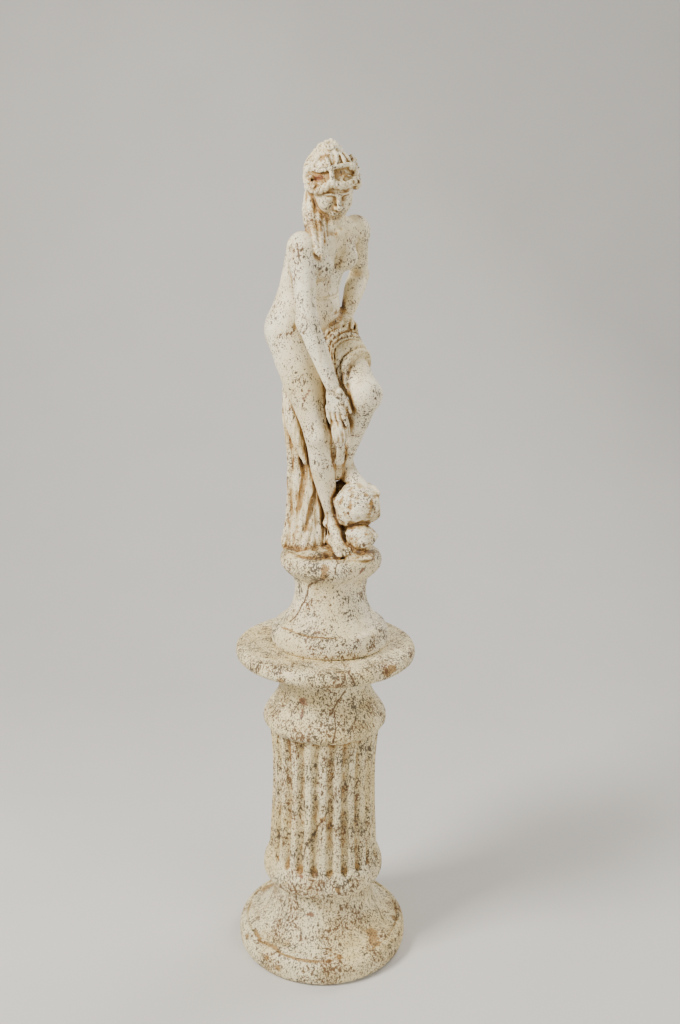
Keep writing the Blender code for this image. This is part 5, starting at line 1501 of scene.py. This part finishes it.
def stained(n, place, colour):
    """The colour with the ochre stains and the rusty marks, broken up at their edges."""
    broken = n.maths("MULTIPLY_ADD", n.noise(place, 150.0, 4.0, 0.75), 3.0, -1.5)
    for name, tone in (("stain", OCHRE), ("rust", RUST)):
        share = n.steps(n.maths("ADD", n.attribute(name), broken), 0.42, 0.72, 0.0, 0.85)
        colour = n.mix(share, colour, tone)
    return colour


def flecked(n, place, clean, flecks):
    """One on flecks of three sizes, thicker in clusters; on a clean piece they thin out higher up."""
    cluster = n.steps(n.noise(place, 22.0, 2.5, 0.65), 0.36, 0.66)
    marks = 0.0
    upright = n.vector("MULTIPLY", place, (1.0, 1.0, 0.45))
    split = n.node("ShaderNodeSeparateXYZ")
    n.put(split.inputs[0], place)
    height_share = n.steps(split.outputs[2], 0.82, 0.90, 0.25, 1.0) if clean > 0 else 1.0
    # Where, how fine, the level that a fleck starts at, and how far a cluster lowers it
    sizes = ((place, 430.0, 0.600, 0.045), (upright, 270.0, 0.640, 0.060), (place, 140.0, 0.690, 0.065))
    for where, scale, start, share in sizes:
        spread = n.noise(where, scale, 1.5, 0.55, 0.4)
        level = n.maths("MULTIPLY_ADD", height_share, clean, start)
        level = n.maths("MULTIPLY_ADD", cluster, -share * flecks, level)
        dots = n.steps(n.maths("SUBTRACT", spread, level), 0.0, 0.022)
        marks = n.maths("MAXIMUM", marks, dots)
    return marks


def aged_paint(name, tint, clean, flecks, wash, axis, radius, cracks):
    """Cream paint, flecked and cracked, with an ochre wash and painted shade in the hollows."""
    n = Nodes(name)
    place = n.node("ShaderNodeTexCoord").outputs["Object"]
    colour = stained(n, place, washed_and_shaded(n, place, cream_coat(n, place, tint), wash))
    uneven = n.ragged(n.ragged(place, 45.0, 0.012), 240.0, 0.004)
    cracked = n.marks(n.unrolled(uneven, axis, radius), unrolled_lines(radius, cracks))
    colour = n.mix(n.maths("MULTIPLY", cracked, 0.9), colour, BROWN)
    marks = flecked(n, place, clean, flecks)
    tone = n.mix(n.steps(n.noise(place, 24.0, 2.0), 0.42, 0.58), FLECK, BROWN_FLECK)
    colour = n.mix(n.maths("MULTIPLY", marks, 0.93), colour, tone)
    n.put(n.shader.inputs["Base Color"], colour)
    n.put(n.shader.inputs["Roughness"], n.maths("MULTIPLY_ADD", n.noise(place, 40.0), 0.3, 0.45))
    worn = n.maths("MULTIPLY", n.noise(place, 70.0, 4.0, 0.7), 0.9)
    height = n.maths("MULTIPLY_ADD", marks, -0.5, worn)
    height = n.maths("MULTIPLY_ADD", cracked, -1.4, height)
    bump = n.node("ShaderNodeBump")
    bump.inputs["Strength"].default_value = 0.6
    bump.inputs["Distance"].default_value = 0.0015
    n.put(bump.inputs["Height"], height)
    n.put(n.shader.inputs["Normal"], bump.outputs[0])
    return n.material


def unrolled_lines(radius, lines):
    """Lines given by angles from the front in degrees and heights, as points on the unrolled face."""
    return [(half, [(math.radians(a) * radius, z, 0.0) for a, z in places]) for half, places in lines]


# Floor and back wall, in metres: half their width, front edge, the curve between them, and top
STAGE_HALF = 5.0
STAGE_FRONT = -4.0
BEND_START = 1.2
BEND_RADIUS = 1.6
WALL_TOP = 6.0
# Soft lights: name, place and size in metres, and power
LIGHTS = (
    ("key", (-2.0, -1.2, 2.6), 0.9, 156), ("fill", (1.7, -1.9, 1.5), 1.6, 31),
    ("rim", (1.4, 1.2, 2.3), 1.2, 36),
)
LIGHT_TARGET = (0, 0, 0.9)
LIGHT_TINT = (1.0, 0.96, 0.89)
WORLD_TINT = (0.62, 0.61, 0.60, 1)
WORLD_STRENGTH = 0.62
# Camera: place in metres, tilt down and roll in degrees, and lens for a picture of this height
CAMERA_PLACE = (0.0238, -1.83, 1.3375)
CAMERA_TILT = 13.4
CAMERA_ROLL = 0.9
FILM_WIDTH = 36
FOCAL_PIXELS = 1000
PICTURE_PIXELS = 1024


def floor_paint():
    n = Nodes("pale_floor")
    place = n.node("ShaderNodeTexCoord").outputs["Object"]
    tone = n.noise(place, 3.0, 2.0)
    n.put(n.shader.inputs["Base Color"], n.mix(tone, linear(214, 212, 208), linear(206, 204, 200)))
    n.shader.inputs["Roughness"].default_value = 0.8
    return n.material


def soft_light(name, place, size, power):
    light = bpy.data.lights.new(name, "AREA")
    light.energy = power
    light.size = size
    light.color = LIGHT_TINT
    obj = linked(name, light)
    obj.location = place
    obj.rotation_euler = (Vector(LIGHT_TARGET) - Vector(place)).to_track_quat("-Z", "Y").to_euler()


def build_stage():
    """Floor and back wall as one sheet bent in a wide curve, and the light of the room."""
    bend = np.radians(np.linspace(0, 90, 13))
    depth = np.r_[STAGE_FRONT, BEND_START + BEND_RADIUS * np.sin(bend), BEND_START + BEND_RADIUS]
    height = np.r_[0.0, BEND_RADIUS - BEND_RADIUS * np.cos(bend), WALL_TOP]
    sides = np.array([-STAGE_HALF, STAGE_HALF])
    points = np.stack([np.tile(sides, len(depth)), np.repeat(depth, 2), np.repeat(height, 2)], 1)
    i = np.arange(len(depth) - 1) * 2
    floor = mesh_piece("floor", points, np.stack([i, i + 1, i + 3, i + 2], 1))
    floor.data.materials.append(floor_paint())
    world = bpy.data.worlds.new("studio")
    world.use_nodes = True
    back = world.node_tree.nodes["Background"]
    back.inputs["Color"].default_value = WORLD_TINT
    back.inputs["Strength"].default_value = WORLD_STRENGTH
    bpy.context.scene.world = world
    for light in LIGHTS:
        soft_light(*light)


def build_camera():
    camera = bpy.data.cameras.new("camera")
    camera.sensor_width = FILM_WIDTH
    camera.lens = FILM_WIDTH * FOCAL_PIXELS / PICTURE_PIXELS
    obj = linked("camera", camera)
    pitch = Matrix.Rotation(math.radians(90 - CAMERA_TILT), 4, "X")
    roll = Matrix.Rotation(math.radians(CAMERA_ROLL), 4, "Z")
    obj.matrix_world = Matrix.Translation(CAMERA_PLACE) @ pitch @ roll
    bpy.context.scene.camera = obj


def dress(piece, node, material):
    piece.data.materials.clear()
    piece.data.materials.append(material)
    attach(piece, "root")
    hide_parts(node)


statue = build_statue()
base = PEDESTAL_HEIGHT + REST_GAP
socle_cracks = [(half, [(a, base + z) for a, z in line]) for half, line in SOCLE_CRACKS]
statue_paint = aged_paint(
    "aged_paint_statue", tint=(1.0, 1.0, 1.0, 1.0), clean=0.055, flecks=1.9, wash=0.05,
    axis=STATUE_OFFSET, radius=SOCLE_STEM_RADIUS, cracks=socle_cracks,
)
dress(statue, "statue", statue_paint)
pedestal = build_pedestal()
pedestal_paint = aged_paint(
    "aged_paint_pedestal", tint=(1.0, 0.965, 0.83, 1.0), clean=-0.012, flecks=1.4, wash=0.22,
    axis=0.0, radius=SHAFT_RADIUS, cracks=PEDESTAL_CRACKS,
)
dress(pedestal, "pedestal", pedestal_paint)
build_stage()
build_camera()
